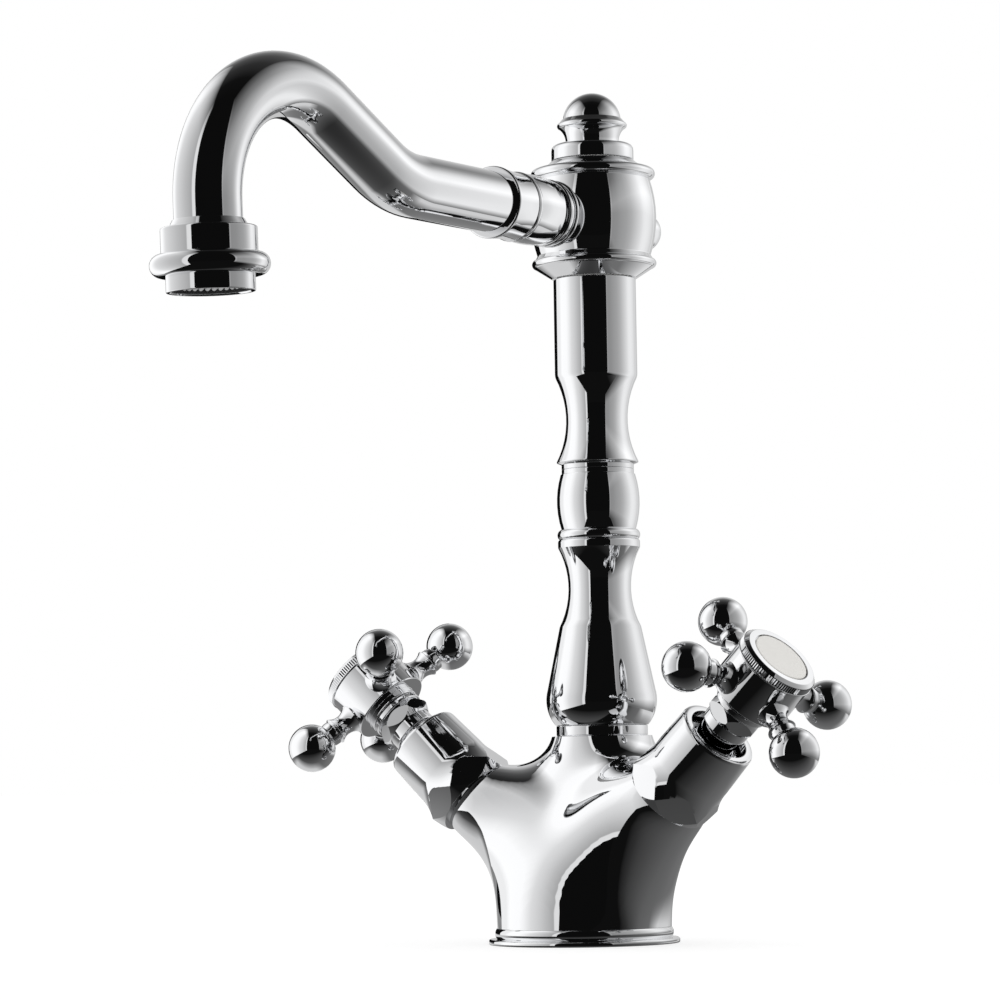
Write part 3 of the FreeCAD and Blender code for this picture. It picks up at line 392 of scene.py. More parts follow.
class Outline:
    """Half section of a turned piece: (radius, height) corners and arcs in millimetres."""

    def __init__(self, radius: float, height: float) -> None:
        """Starts the outline at a corner."""
        self.corners: list[tuple[Vector, float]] = [(Vector((radius, height)), 0.0)]

    def to(self, radius: float, height: float, edge: float = EDGE) -> "Outline":
        """Goes straight to a corner.

        Args:
            radius: Distance from the axis.
            height: Height along the axis.
            edge: Radius that breaks the corner.

        Returns:
            The outline.
        """
        self.corners.append((Vector((radius, height)), edge))
        return self

    def bow(self, via: tuple, end: tuple, edge: float = EDGE) -> "Outline":
        """Goes along the arc through a point to a corner.

        Args:
            via: Point on the arc.
            end: End of the arc.
            edge: Radius that breaks the corner at the end.

        Returns:
            The outline.
        """
        start, middle, last = self.corners[-1][0], Vector(via), Vector(end)
        centre = arc_centre(start, middle, last)
        radius = (start - centre).length
        first = math.atan2(start.y - centre.y, start.x - centre.x)
        to_middle = wrapped(math.atan2(middle.y - centre.y, middle.x - centre.x) - first)
        to_last = wrapped(math.atan2(last.y - centre.y, last.x - centre.x) - first)
        if to_middle > to_last:
            to_last -= 2 * math.pi
        steps = max(ARC_LEAST, math.ceil(abs(to_last) / ARC_STEP))
        for step in range(1, steps):
            angle = first + to_last * step / steps
            self.corners.append((centre + radius * Vector((math.cos(angle), math.sin(angle))), 0.0))
        self.corners.append((last, edge))
        return self

    def swell(self, radius: float, end: tuple, edge: float = EDGE) -> "Outline":
        """Goes along the arc that is at a radius midway up.

        Args:
            radius: Radius midway.
            end: End of the arc.
            edge: Radius that breaks the corner at the end.

        Returns:
            The outline.
        """
        return self.bow((radius, (self.corners[-1][0].y + end[1]) / 2), end, edge)

    def dome(self, radius: float, top: float) -> "Outline":
        """Goes up a ball of a radius to its top on the axis."""
        return self.bow((radius * DIAGONAL, top - radius * (1 - DIAGONAL)), (0, top), 0)

    def close(self) -> "Outline":
        """Goes back to the start, for a piece with a bore."""
        self.corners.append((self.corners[0][0], 0.0))
        return self

    def points(self) -> list[Vector]:
        """The outline with its edges broken.

        Returns:
            Points in metres, in the XZ plane.
        """
        made = []
        for number, (corner, edge) in enumerate(self.corners):
            if 0 < number < len(self.corners) - 1 and edge:
                made += broken_corner(self.corners[number - 1][0], corner, self.corners[number + 1][0], edge)
            else:
                made.append(corner)
        return [Vector((p.x, 0, p.y)) * MM for p in made]


def wrapped(angle: float) -> float:
    """An angle from 0 to a full turn."""
    return angle % (2 * math.pi)


def arc_centre(first: Vector, second: Vector, third: Vector) -> Vector:
    """Centre of the circle through three points.

    Args:
        first: A point.
        second: Another point.
        third: A third point.

    Returns:
        The centre.
    """
    a, b = second - first, third - first
    cross = 2 * (a.x * b.y - a.y * b.x)
    along_a, along_b = a.length_squared, b.length_squared
    return first + Vector((b.y * along_a - a.y * along_b, a.x * along_b - b.x * along_a)) / cross


def broken_corner(before: Vector, corner: Vector, after: Vector, edge: float) -> list[Vector]:
    """Rounds a corner, unless the outline hardly turns there.

    Args:
        before: Point before the corner.
        corner: The corner.
        after: Point after the corner.
        edge: Radius of the rounding.

    Returns:
        Points of the rounded corner.
    """
    back, on = before - corner, after - corner
    if back.length < NO_LENGTH or on.length < NO_LENGTH:
        return [corner]
    turn = math.pi - back.angle(on)
    if turn < SHARP_TURN:
        return [corner]
    cut = min(edge * math.tan(turn / 2), CORNER_SHARE * back.length, CORNER_SHARE * on.length)
    start, end = corner + back.normalized() * cut, corner + on.normalized() * cut
    made = []
    for step in range(EDGE_STEPS + 1):
        share = step / EDGE_STEPS
        made.append(start.lerp(corner, share).lerp(corner.lerp(end, share), share))
    return made


def clear_selection() -> None:
    """Leaves nothing selected."""
    bpy.ops.object.select_all(action="DESELECT")


def pick(piece: bpy.types.Object) -> None:
    """Selects one piece alone and makes it active.

    Args:
        piece: The piece.
    """
    clear_selection()
    piece.select_set(True)
    bpy.context.view_layer.objects.active = piece


def started(name: str) -> bpy.types.Object:
    """Names the primitive that was just added and goes into edit mode.

    Args:
        name: Its name.

    Returns:
        The primitive.
    """
    piece = bpy.context.object
    piece.name = piece.data.name = name
    bpy.ops.object.mode_set(mode="EDIT")
    return piece


def closed_up(piece: bpy.types.Object) -> None:
    """Merges doubles, turns the faces outwards and leaves edit mode.

    Args:
        piece: The piece in edit mode.
    """
    bpy.ops.mesh.select_all(action="SELECT")
    bpy.ops.mesh.remove_doubles(threshold=MERGE)
    bpy.ops.mesh.normals_make_consistent(inside=False)
    bpy.ops.object.mode_set(mode="OBJECT")
    pick(piece)


def seat(piece: bpy.types.Object, place: Matrix) -> bpy.types.Object:
    """Moves a piece into a frame and puts the move into its mesh.

    Args:
        piece: The piece.
        place: The frame.

    Returns:
        The piece.
    """
    pick(piece)
    piece.matrix_world = place
    bpy.ops.object.transform_apply(location=True, rotation=True, scale=True)
    return piece


def turned(name: str, outline: Outline, steps: int = ROUND_STEPS) -> bpy.types.Object:
    """Turns an outline about Z.

    Args:
        name: Name of the piece.
        outline: Its half section.
        steps: Faces round the axis.

    Returns:
        The piece, about the origin's Z axis.
    """
    clear_selection()
    bpy.ops.mesh.primitive_plane_add(size=MM)
    piece = started(name)
    bpy.ops.mesh.merge(type="CENTER")
    here = Vector()
    for number, point in enumerate(outline.points()):
        if number:
            bpy.ops.mesh.extrude_region_move(TRANSFORM_OT_translate={"value": point - here})
        else:
            bpy.ops.transform.translate(value=point)
        here = point
    bpy.ops.mesh.select_all(action="SELECT")
    bpy.ops.mesh.spin(steps=steps, angle=2 * math.pi, center=(0, 0, 0), axis=(0, 0, 1))
    closed_up(piece)
    return piece


def use_modifier(piece: bpy.types.Object, kind: str, **settings: object) -> None:
    """Adds a modifier and applies it.

    Args:
        piece: The piece.
        kind: Type of modifier.
        **settings: Its settings.
    """
    pick(piece)
    bpy.ops.object.modifier_add(type=kind)
    modifier = piece.modifiers[-1]
    for name, setting in settings.items():
        setattr(modifier, name, setting)
    bpy.ops.object.modifier_apply(modifier=modifier.name)


def polished(piece: bpy.types.Object, angle: float = SMOOTH_ANGLE) -> bpy.types.Object:
    """Shades a piece smooth, with its flats kept flat.

    Args:
        piece: The piece.
        angle: Turn past which an edge stays sharp.

    Returns:
        The piece.
    """
    pick(piece)
    bpy.ops.object.shade_smooth_by_angle(angle=angle)
    use_modifier(piece, "WEIGHTED_NORMAL", keep_sharp=True)
    return piece


def joined(first: bpy.types.Object, *others: bpy.types.Object) -> bpy.types.Object:
    """Joins pieces into the first one.

    Args:
        first: The piece that stays.
        *others: Pieces that go into it.

    Returns:
        The joined piece.
    """
    pick(first)
    for other in others:
        other.select_set(True)
    bpy.ops.object.join()
    return first


def copied(piece: bpy.types.Object, name: str, place: Matrix) -> bpy.types.Object:
    """Copies a piece, with its own mesh, into a frame.

    Args:
        piece: The model.
        name: Name of the copy.
        place: Frame of the copy.

    Returns:
        The copy.
    """
    pick(piece)
    bpy.ops.object.duplicate(linked=False)
    copy = bpy.context.object
    copy.name = copy.data.name = name
    return seat(copy, place)


def dropped(piece: bpy.types.Object) -> None:
    """Deletes a model or a cutter that is no longer needed."""
    pick(piece)
    bpy.ops.object.delete()


@dataclass(frozen=True)
class Layout:
    """Main axes of the mixer."""

    column_back: float = 11.0
    spout_z: float = 208.6
    outlet_reach: float = 177.07
    outlet_z: float = 194.44
    outlet_lean: float = 2.5
    valve_forward: float = 1.9
    valve_root_z: float = 11.0
    valve_rise: float = 43.0
    valve_yaw: float = 6.15

    @property
    def column(self) -> Matrix:
        """Axis of the column, with Z from the deck."""
        return frame(y=self.column_back)

    @property
    def along_spout(self) -> Matrix:
        """Axis out of the column along the spout."""
        return frame(y=self.column_back, z=self.spout_z, roll=90)

    @property
    def behind_spout(self) -> Matrix:
        """Axis out of the column's back."""
        return frame(y=self.column_back, z=self.spout_z, roll=-90)

    @property
    def outlet(self) -> Matrix:
        """Axis up the spout's end."""
        return frame(y=self.column_back - self.outlet_reach, z=self.outlet_z, roll=self.outlet_lean)

    def valve(self, side: Side) -> Matrix:
        """Axis up one side's slant.

        Args:
            side: The side.

        Returns:
            The valve's frame.
        """
        way = side.value
        return frame(y=-self.valve_forward, z=self.valve_root_z,
                     yaw=-way * self.valve_yaw, pitch=way * (90 - self.valve_rise))


LAYOUT = Layout()


@dataclass
class SubAssembly:
    """Pieces of the mixer that belong together."""

    paints: Paints

    def fit(self, piece: bpy.types.Object, body: Body, slot: Slot, *nodes: str) -> None:
        """Dresses a piece, hangs it on its body and hides the nodes that it stands for.

        Args:
            piece: The piece.
            body: Body that it rides on.
            slot: Its material slot.
            *nodes: CAD nodes that it replaces.
        """
        self.paints.dress(piece, slot)
        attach(piece, body.value)
        if nodes:
            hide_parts(*nodes)
        LOG.info("%s: %d faces on %s, for %s", piece.name, len(piece.data.polygons), body.value, nodes)

    def turn_out(self, name: str, outline: Outline, place: Matrix, body: Body, *nodes: str,
                 slot: Slot = Slot.CHROME) -> None:
        """Turns a polished piece in a frame and fits it.

        Args:
            name: Name of the piece.
            outline: Its half section.
            place: The frame.
            body: Body that it rides on.
            *nodes: CAD nodes that it replaces.
            slot: Its material slot.
        """
        self.fit(polished(seat(turned(name, outline), place)), body, slot, *nodes)


@dataclass
class Base(SubAssembly):
    """Base flange, and the casting's floor with its threaded holes."""

    rim_r: float = 27.3
    rim_h: float = 1.5
    step_r: float = 24.9
    bead_r: float = 25.5
    top: float = 4.6
    bore_r: float = 20.0
    gasket_in_r: float = 21.5
    gasket_r: float = 24.5
    gasket_h: float = 0.8
    inlet_x: float = 10.0
    inlet_y: float = -2.978
    inlet_r: float = 4.5
    stud_y: float = 13.0
    stud_r: float = 3.4
    floor_top: float = 12.0
    floor_gap: float = 0.1
    hole_roof: float = 1.0
    overcut: float = 1.0

    def build(self) -> None:
        """Makes the flange and the floor."""
        half_rim = self.rim_h / 2
        outline = Outline(self.bore_r, 0).to(self.gasket_in_r, 0).to(self.gasket_in_r, self.gasket_h)
        outline.to(self.gasket_r, self.gasket_h).to(self.gasket_r, 0)
        outline.to(self.rim_r, 0, half_rim / 2).to(self.rim_r, self.rim_h, half_rim)
        outline.to(self.step_r, self.rim_h)
        outline.swell(self.bead_r, (self.step_r, self.top)).to(self.bore_r, self.top).close()
        self.turn_out("base_flange", outline, frame(), Body.MIXER, "base_ring")
        floor_r = self.bore_r - self.floor_gap
        form = Outline(0, 0).to(floor_r, 0).to(floor_r, self.floor_top).to(0, self.floor_top)
        floor = turned("casting_floor", form)
        holes = [(-self.inlet_x, self.inlet_y, self.inlet_r), (self.inlet_x, self.inlet_y, self.inlet_r),
                 (0, self.stud_y, self.stud_r)]
        for x, y, radius in holes:
            self.drill(floor, x, y, radius)
        self.fit(polished(floor), Body.MIXER, Slot.CHROME)

    def drill(self, floor: bpy.types.Object, x: float, y: float, radius: float) -> None:
        """Cuts a blind hole up into the floor.

        Args:
            floor: The floor.
            x: Place of the hole across.
            y: Place of the hole from front to back.
            radius: Radius of the hole.
        """
        end = self.floor_top - self.hole_roof
        form = Outline(0, -self.overcut).to(radius, -self.overcut, 0).to(radius, end, 0).to(0, end)
        bit = seat(turned("bit", form, SMALL_STEPS), frame(x, y))
        use_modifier(floor, "BOOLEAN", operation="DIFFERENCE", object=bit, solver="EXACT")
        dropped(bit)


@dataclass
class Casting(SubAssembly):
    """Body casting: an oval trunk and two valve arms that run into one another."""

    # Height, half depth, extra half width and set-back of each oval section
    sections: tuple = (
        (-9.0, 24.4, 0.0, 0.0), (4.6, 24.4, 0.0, 0.0), (11.0, 24.3, 0.0, 0.0), (23.0, 22.6, 0.6, 1.5),
        (36.0, 17.8, 6.0, 5.5), (45.0, 14.9, 13.0, 8.5), (50.0, 14.0, 11.2, 9.9), (54.2, 13.6, 4.0, 10.7),
        (59.0, 13.5, 0.0, 11.0), (70.0, 13.5, 0.0, 11.0),
    )
    foot: float = 4.6
    neck: float = 59.0
    slices: int = 4
    sides: int = 96
    arm_back: float = 1.2
    arm_r: float = 11.9
    arm_stops: tuple = (45.0, 49.0)
    # Way out, height, lean, half width, half depth and set-back of each ring from the foot to an arm
    rings: tuple = (
        (0.0, 4.6, 0.0, 24.4, 24.4, 0.0), (0.6, 12.5, 5.0, 24.0, 23.9, 0.0),
        (7.7, 25.75, 20.0, 21.5, 19.5, 0.5), (19.3, 34.7, 34.0, 16.5, 14.2, -1.0),
        (29.1, 39.2, 45.0, 12.6, 12.3, -3.1),
    )
    # Set-back, height, lean, half height and half depth of the web's section on the middle plane
    web_middle: tuple = (1.4, 34.3, 31.0, 16.0, 13.0)
    grow: float = 0.8
    voxel: float = 0.85
    smoothing: int = 180
    finishing: int = 400
    smooth_share: float = 0.5

    def trunk(self) -> bpy.types.Object:
        """Draws the trunk up through its sections.

        Returns:
            The trunk.
        """
        clear_selection()
        bpy.ops.mesh.primitive_circle_add(vertices=self.sides, radius=MM, fill_type="NGON")
        piece = started("body_casting")
        bpy.ops.mesh.select_all(action="SELECT")
        wide, deep, here = 1.0, 1.0, Vector()
        for number, (height, radius, spread, back) in enumerate(smoothed(self.sections, self.slices)):
            there = Vector((0, back, height)) * MM
            if number:
                bpy.ops.mesh.extrude_region_move(TRANSFORM_OT_translate={"value": there - here})
            else:
                bpy.ops.transform.translate(value=there)
            across, along = radius + spread + self.grow, radius + self.grow
            bpy.ops.transform.resize(value=(across / wide, along / deep, 1), center_override=there)
            wide, deep, here = across, along, there
        closed_up(piece)
        return piece

    def places(self, side: Side) -> list[Matrix]:
        """Frames of one side's rings, scaled to their radii.

        Args:
            side: The side.

        Returns:
            The frames from the foot out to the arm's end.
        """
        way = side.value
        made = []
        for out, height, lean, half_width, half_depth, back in smoothed(self.rings, self.slices):
            place = frame(x=way * out, y=back, z=height, pitch=way * lean)
            made.append(place @ Matrix.Diagonal((half_width + self.grow, half_depth + self.grow, 1, 1)))
        for stop in self.arm_stops:
            place = LAYOUT.valve(side) @ frame(y=self.arm_back, z=stop)
            made.append(place @ Matrix.Diagonal((self.arm_r + self.grow, self.arm_r + self.grow, 1, 1)))
        return made

    def hull(self, *places: Matrix) -> bpy.types.Object:
        """Stretches a skin round rings.

        Args:
            *places: Frames of the rings, scaled to their radii.

        Returns:
            The closed skin.
        """
        rings = []
        for place in places:
            clear_selection()
            bpy.ops.mesh.primitive_circle_add(vertices=self.sides, radius=MM)
            rings.append(seat(bpy.context.object, place))
        piece = joined(*rings)
        bpy.ops.object.mode_set(mode="EDIT")
        bpy.ops.mesh.select_all(action="SELECT")
        bpy.ops.mesh.convex_hull()
        closed_up(piece)
        return piece

    def limb(self, side: Side) -> list[bpy.types.Object]:
        """Makes one arm out of the trunk, and the web between it and the middle.

        Args:
            side: The side.

        Returns:
            The pieces of the arm.
        """
        back, height, lean, half_height, half_depth = self.web_middle
        standing = frame(y=back, z=height, roll=-lean) @ frame(pitch=90)
        middle = standing @ Matrix.Diagonal((half_height, half_depth, 1, 1))
        places = self.places(side)
        made = [self.hull(first, second) for first, second in zip(places, places[1:])]
        made.append(self.hull(middle, places[-2]))
        return made

    def build(self) -> None:
        """Runs the trunk and arms into one casting and trims its ends."""
        casting = joined(self.trunk(), *self.limb(Side.HOT), *self.limb(Side.COLD))
        use_modifier(casting, "REMESH", mode="VOXEL", voxel_size=self.voxel * MM)
        use_modifier(casting, "SMOOTH", factor=self.smooth_share, iterations=self.smoothing)
        use_modifier(casting, "SUBSURF", levels=1, render_levels=1)
        use_modifier(casting, "SMOOTH", factor=self.smooth_share, iterations=self.finishing)
        for height, way in ((self.foot, -1), (self.neck, 1)):
            pick(casting)
            bpy.ops.object.mode_set(mode="EDIT")
            bpy.ops.mesh.select_all(action="SELECT")
            bpy.ops.mesh.bisect(plane_co=(0, 0, height * MM), plane_no=(0, 0, way), use_fill=True,
                                clear_outer=True)
            bpy.ops.object.mode_set(mode="OBJECT")
        pick(casting)
        bpy.ops.object.shade_smooth_by_angle(angle=SMOOTH_ANGLE)
        self.fit(casting, Body.MIXER, Slot.CHROME, "mixer_body")


def smoothed(stations: tuple, slices: int) -> list[tuple]:
    """Stations of a form with smooth ones set between them.

    Args:
        stations: The stations, each a row of sizes.
        slices: Steps from one station to the next.

    Returns:
        All the stations in order.
    """
    made = []
    last = len(stations) - 1
    for number in range(last):
        four = [Vector(stations[max(0, min(last, number + way))]) for way in (-1, 0, 1, 2)]
        for step in range(slices):
            made.append(tuple(between(four, step / slices)))
    made.append(stations[-1])
    return made


def between(four: list[Vector], share: float) -> Vector:
    """Point on the smooth curve between the middle two of four points.

    Args:
        four: The points.
        share: Share of the way.

    Returns:
        The point.
    """
    before, first, second, after = four
    square, cube = share * share, share ** 3
    return 0.5 * (2 * first + (second - before) * share
                  + (2 * before - 5 * first + 4 * second - after) * square
                  + (3 * first - before - 3 * second + after) * cube)


@dataclass
class Column(SubAssembly):
    """Turned column: neck ring, vase, knop and tube."""

    neck: float = 59.0
    neck_ring_r: float = 13.2
    vase: float = 62.2
    vase_foot_r: float = 13.4
    belly_bow: tuple = (16.0, 69.2)
    belly: tuple = (15.6, 72.4)
    belly_edge: float = 3.0
    shoulder: tuple = (11.8, 90.6)
    shoulder_edge: float = 5.0
    low_cove_bow: tuple = (9.05, 102.1)
    lip_r: float = 11.9
    lip: float = 113.6
    lip_edge: float = 0.8
    bead: float = 115.9
    bead_foot_r: float = 11.4
    bead_bow: tuple = (12.0, 117.4)
    knop: float = 118.9
    knop_end_r: float = 10.8
    knop_bow: tuple = (12.0, 126.9)
    knop_top: float = 134.9
    groove_r: float = 10.5
    groove_seam: float = 136.3
    groove_top: float = 137.7
    tube_r: float = 12.0
    tube_foot: float = 138.3
    high_cove_bow: tuple = (8.93, 150.85)
    tube: float = 163.4
    tube_edge: float = 4.0
    top: float = 191.8

    def build(self) -> None:
        """Makes the four turned pieces."""
        ring = Outline(0, self.neck).to(self.neck_ring_r, self.neck, FULL)
        ring.to(self.neck_ring_r, self.vase, FULL).to(0, self.vase)
        lower = Outline(0, self.vase).to(self.vase_foot_r, self.vase, SOFT)
        lower.bow(self.belly_bow, self.belly, self.belly_edge).to(*self.shoulder, self.shoulder_edge)
        lower.bow(self.low_cove_bow, (self.lip_r, self.lip), FULL)
        lower.to(self.lip_r, self.bead, self.lip_edge).to(0, self.bead)
        knop = Outline(0, self.bead).to(self.bead_foot_r, self.bead)
        knop.bow(self.bead_bow, (self.knop_end_r, self.knop), SOFT)
        knop.bow(self.knop_bow, (self.knop_end_r, self.knop_top)).to(self.groove_r, self.knop_top)
        knop.to(self.groove_r, self.groove_seam).to(0, self.groove_seam)
        upper = Outline(0, self.groove_seam).to(self.groove_r, self.groove_seam)
        upper.to(self.groove_r, self.groove_top).to(self.tube_r, self.tube_foot, BLUNT)
        upper.bow(self.high_cove_bow, (self.tube_r, self.tube), self.tube_edge)
        upper.to(self.tube_r, self.top, SOFT).to(0, self.top)
        pieces = [("column_neck_ring", ring, "neck_ring"), ("column_vase", lower, "lower_column"),
                  ("knop", knop, "column_knop"), ("column_tube", upper, "upper_column")]
        for name, outline, node in pieces:
            self.turn_out(name, outline, LAYOUT.column, Body.MIXER, node)


@dataclass
class Finial(SubAssembly):
    """Cap on the swivel: a disc, a waist, a ring and a dome."""

    foot: float = 226.8
    cap_r: float = 12.0
    shoulder: float = 2.2
    cap_top: float = 231.5
    waist_r: float = 7.8
    waist_bow: tuple = (8.15, 234.4)
    ring_under: tuple = (9.55, 236.35)
    ring_edge: tuple = (10.2, 237.05)
    ring_over: tuple = (9.75, 237.85)
    dome_seat: tuple = (8.75, 239.0)
    dome_r: float = 8.45
    dome_z: float = 239.05
    dome_top: float = 246.7

    def build(self) -> None:
        """Turns the cap."""
        outline = Outline(0, self.foot).to(self.cap_r, self.foot, SOFT)
        outline.to(self.cap_r, self.cap_top, self.shoulder).to(self.waist_r, self.cap_top, SOFT)
        outline.bow(self.waist_bow, self.ring_under, CRISP).bow(self.ring_edge, self.ring_over, CRISP)
        outline.to(*self.dome_seat, CRISP).to(self.dome_r, self.dome_z, HAIR)
        rise = self.dome_top - self.dome_z
        outline.dome((self.dome_r ** 2 + rise ** 2) / (2 * rise), self.dome_top)
        self.turn_out("finial_cap", outline, LAYOUT.column, Body.MIXER, "finial")


@dataclass
class Swivel(SubAssembly):
    """Barrel that turns on the column, with its bosses and the plug behind."""

    foot: float = 192.1
    foot_r: float = 12.4
    collar_in_r: float = 17.2
    collar_r: float = 18.15
    collar_z: float = 195.2
    collar_top: float = 197.6
    barrel_z: float = 198.8
    barrel_end_r: float = 16.5
    barrel_r: float = 18.3
    barrel_top: float = 221.2
    flange_in_r: float = 16.8
    flange_r: float = 18.15
    flange_top: float = 224.2
    slope_bow: tuple = (14.3, 224.95)
    top_r: float = 12.2
    top: float = 226.5
    neck_r: float = 7.0
    bead_from: float = 21.4
    bead_to: float = 23.0
    bead_r: float = 9.7
    boss_r: float = 8.9
    boss_end: float = 24.0
    rear_r: float = 6.6
    rear_end: float = 18.4
    plug_r: float = 6.0
    plug_h: float = 7.1

    def build(self) -> None:
        """Makes the barrel, its bosses and the plug."""
        shell = Outline(0, self.foot).to(self.foot_r, self.foot, FINE)
        shell.to(self.collar_in_r, self.collar_z, SOFT)
        shell.swell(self.collar_r, (self.collar_in_r, self.collar_top), SOFT)
        shell.to(self.barrel_end_r, self.barrel_z, FULL)
        shell.swell(self.barrel_r, (self.barrel_end_r, self.barrel_top), FINE)
        shell.to(self.flange_in_r, self.barrel_top, CRISP)
        shell.swell(self.flange_r, (self.flange_in_r, self.flange_top), SOFT)
        shell.bow(self.slope_bow, (self.top_r, self.top), SOFT).to(0, self.top)
        barrel = seat(turned("swivel_barrel", shell), LAYOUT.column)
        boss = Outline(0, 0).to(self.neck_r, 0, 0).to(self.neck_r, self.bead_from, SOFT)
        boss.to(self.boss_r, self.bead_from, CRISP).swell(self.bead_r, (self.boss_r, self.bead_to), CRISP)
        boss.to(self.boss_r, self.boss_end, CRISP).to(0, self.boss_end)
        front = seat(turned("boss", boss), LAYOUT.along_spout)
        rear = Outline(0, 0).to(self.rear_r, 0, 0).to(self.rear_r, self.rear_end, FULL).to(0, self.rear_end)
        back = seat(turned("rear_boss", rear), LAYOUT.behind_spout)
        piece = polished(joined(barrel, front, back))
        self.fit(piece, Body.SPOUT, Slot.CHROME, "swivel_housing")
        dome = self.rear_end + self.plug_h
        plug = Outline(0, self.rear_end).to(self.plug_r, self.rear_end, BLUNT).to(self.plug_r, dome, 0)
        plug.dome(self.plug_r, dome + self.plug_r)
        self.turn_out("rear_button", plug, LAYOUT.behind_spout, Body.SPOUT, "rear_plug")


@dataclass
class SwanNeck(SubAssembly):
    """Union, sleeve and the bent pipe of the spout."""

    union_from: float = 24.0
    union_to: float = 42.0
    groove_r: float = 8.8
    ring_r: float = 9.7
    ring_from: float = 24.7
    ring_to: float = 26.0
    cove_run: float = 1.2
    cove_edge: float = 0.6
    barrel_from: float = 28.6
    barrel_end_r: float = 9.65
    barrel_r: float = 10.0
    barrel_to: float = 40.0
    lip_r: float = 10.0
    sleeve_r: float = 9.6
    sleeve_foot_edge: float = 0.12
    sleeve_bow: tuple = (9.75, 47.0)
    sleeve_end_r: float = 10.35
    sleeve_edge: float = 0.8
    sleeve_to: float = 52.4
    pipe_r: float = 8.8
    pipe_sides: int = 80
    pipe_from: float = 33.0
    knee: float = 89.17
    low_bend_r: float = 35.5
    rise: float = 27.0
    rise_h: float = 27.4
    top_bend_r: float = 32.6
    drop: float = 12.0
    bend_step: float = 3.0

    def build(self) -> None:
        """Makes the union, the sleeve and the pipe."""
        first, last = self.union_from, self.union_to
        union = Outline(0, first).to(self.groove_r, first, CRISP).to(self.groove_r, self.ring_from, CRISP)
        union.swell(self.ring_r, (self.groove_r, self.ring_to), CRISP)
        cove = (self.groove_r, self.barrel_from - self.cove_run)
        union.bow(cove, (self.barrel_end_r, self.barrel_from), self.cove_edge)
        union.swell(self.barrel_r, (self.barrel_end_r, self.barrel_to), KEEN)
        union.swell(self.lip_r, (self.barrel_end_r, last), KEEN).to(0, last)
        self.turn_out("union_nut", union, LAYOUT.along_spout, Body.SPOUT, "spout_union")
        sleeve = Outline(0, last).to(self.sleeve_r, last, self.sleeve_foot_edge)
        sleeve.bow(self.sleeve_bow, (self.sleeve_end_r, self.sleeve_to), self.sleeve_edge)
        sleeve.to(0, self.sleeve_to)
        self.turn_out("pipe_sleeve", sleeve, LAYOUT.along_spout, Body.SPOUT, "spout_collar")
        self.fit(polished(self.pipe()), Body.SPOUT, Slot.CHROME, "spout_pipe")

    def push(self, length: float, rise: float) -> Vector:
        """Draws the pipe's open end straight on.

        Args:
            length: Length of the run.
            rise: Slope of the run in degrees.

        Returns:
            The move in metres.
        """
        slope = math.radians(rise)
        move = Vector((0, -math.cos(slope), math.sin(slope))) * length * MM
        bpy.ops.mesh.extrude_region_move(TRANSFORM_OT_translate={"value": move})
        return move

    def bend(self, end: Vector, radius: float, rise: float, angle: float) -> Vector:
        """Bends the pipe's open end on.

        Args:
            end: Middle of the open end.
            radius: Radius of the bend, over zero where it bends up.
            rise: Slope at its start in degrees.
            angle: Turn in degrees, over zero where it bends up.

        Returns:
            Middle of the new end.
        """
        slope = math.radians(rise)
        centre = end + Vector((0, math.sin(slope), math.cos(slope))) * radius * MM
        turn = Matrix.Rotation(-math.radians(angle), 3, "X")
        steps = math.ceil(abs(angle) / self.bend_step)
        bpy.ops.mesh.spin(steps=steps, angle=math.radians(angle), center=centre, axis=(1, 0, 0))
        return centre + turn @ (end - centre)

    def pipe(self) -> bpy.types.Object:
        """Draws the pipe along its swan neck.

        Returns:
            The pipe.
        """
        clear_selection()
        bpy.ops.mesh.primitive_circle_add(vertices=self.pipe_sides, radius=self.pipe_r * MM, fill_type="NGON",
                                          rotation=(math.radians(90), 0, 0))
        bpy.ops.object.transform_apply(location=True, rotation=True, scale=True)
        piece = started("swan_neck")
        bpy.ops.mesh.select_all(action="SELECT")
        end = Vector((0, LAYOUT.column_back - self.pipe_from, LAYOUT.spout_z)) * MM
        bpy.ops.transform.translate(value=end)
        end = end + self.push(self.knee - self.pipe_from, 0)
        end = self.bend(end, self.low_bend_r, 0, self.rise)
        end = end + self.push(self.rise_h, self.rise)
        fall = self.rise + 90 + LAYOUT.outlet_lean
        end = self.bend(end, -self.top_bend_r, self.rise, -fall)
        self.push(self.drop, self.rise - fall)
        closed_up(piece)
        return piece


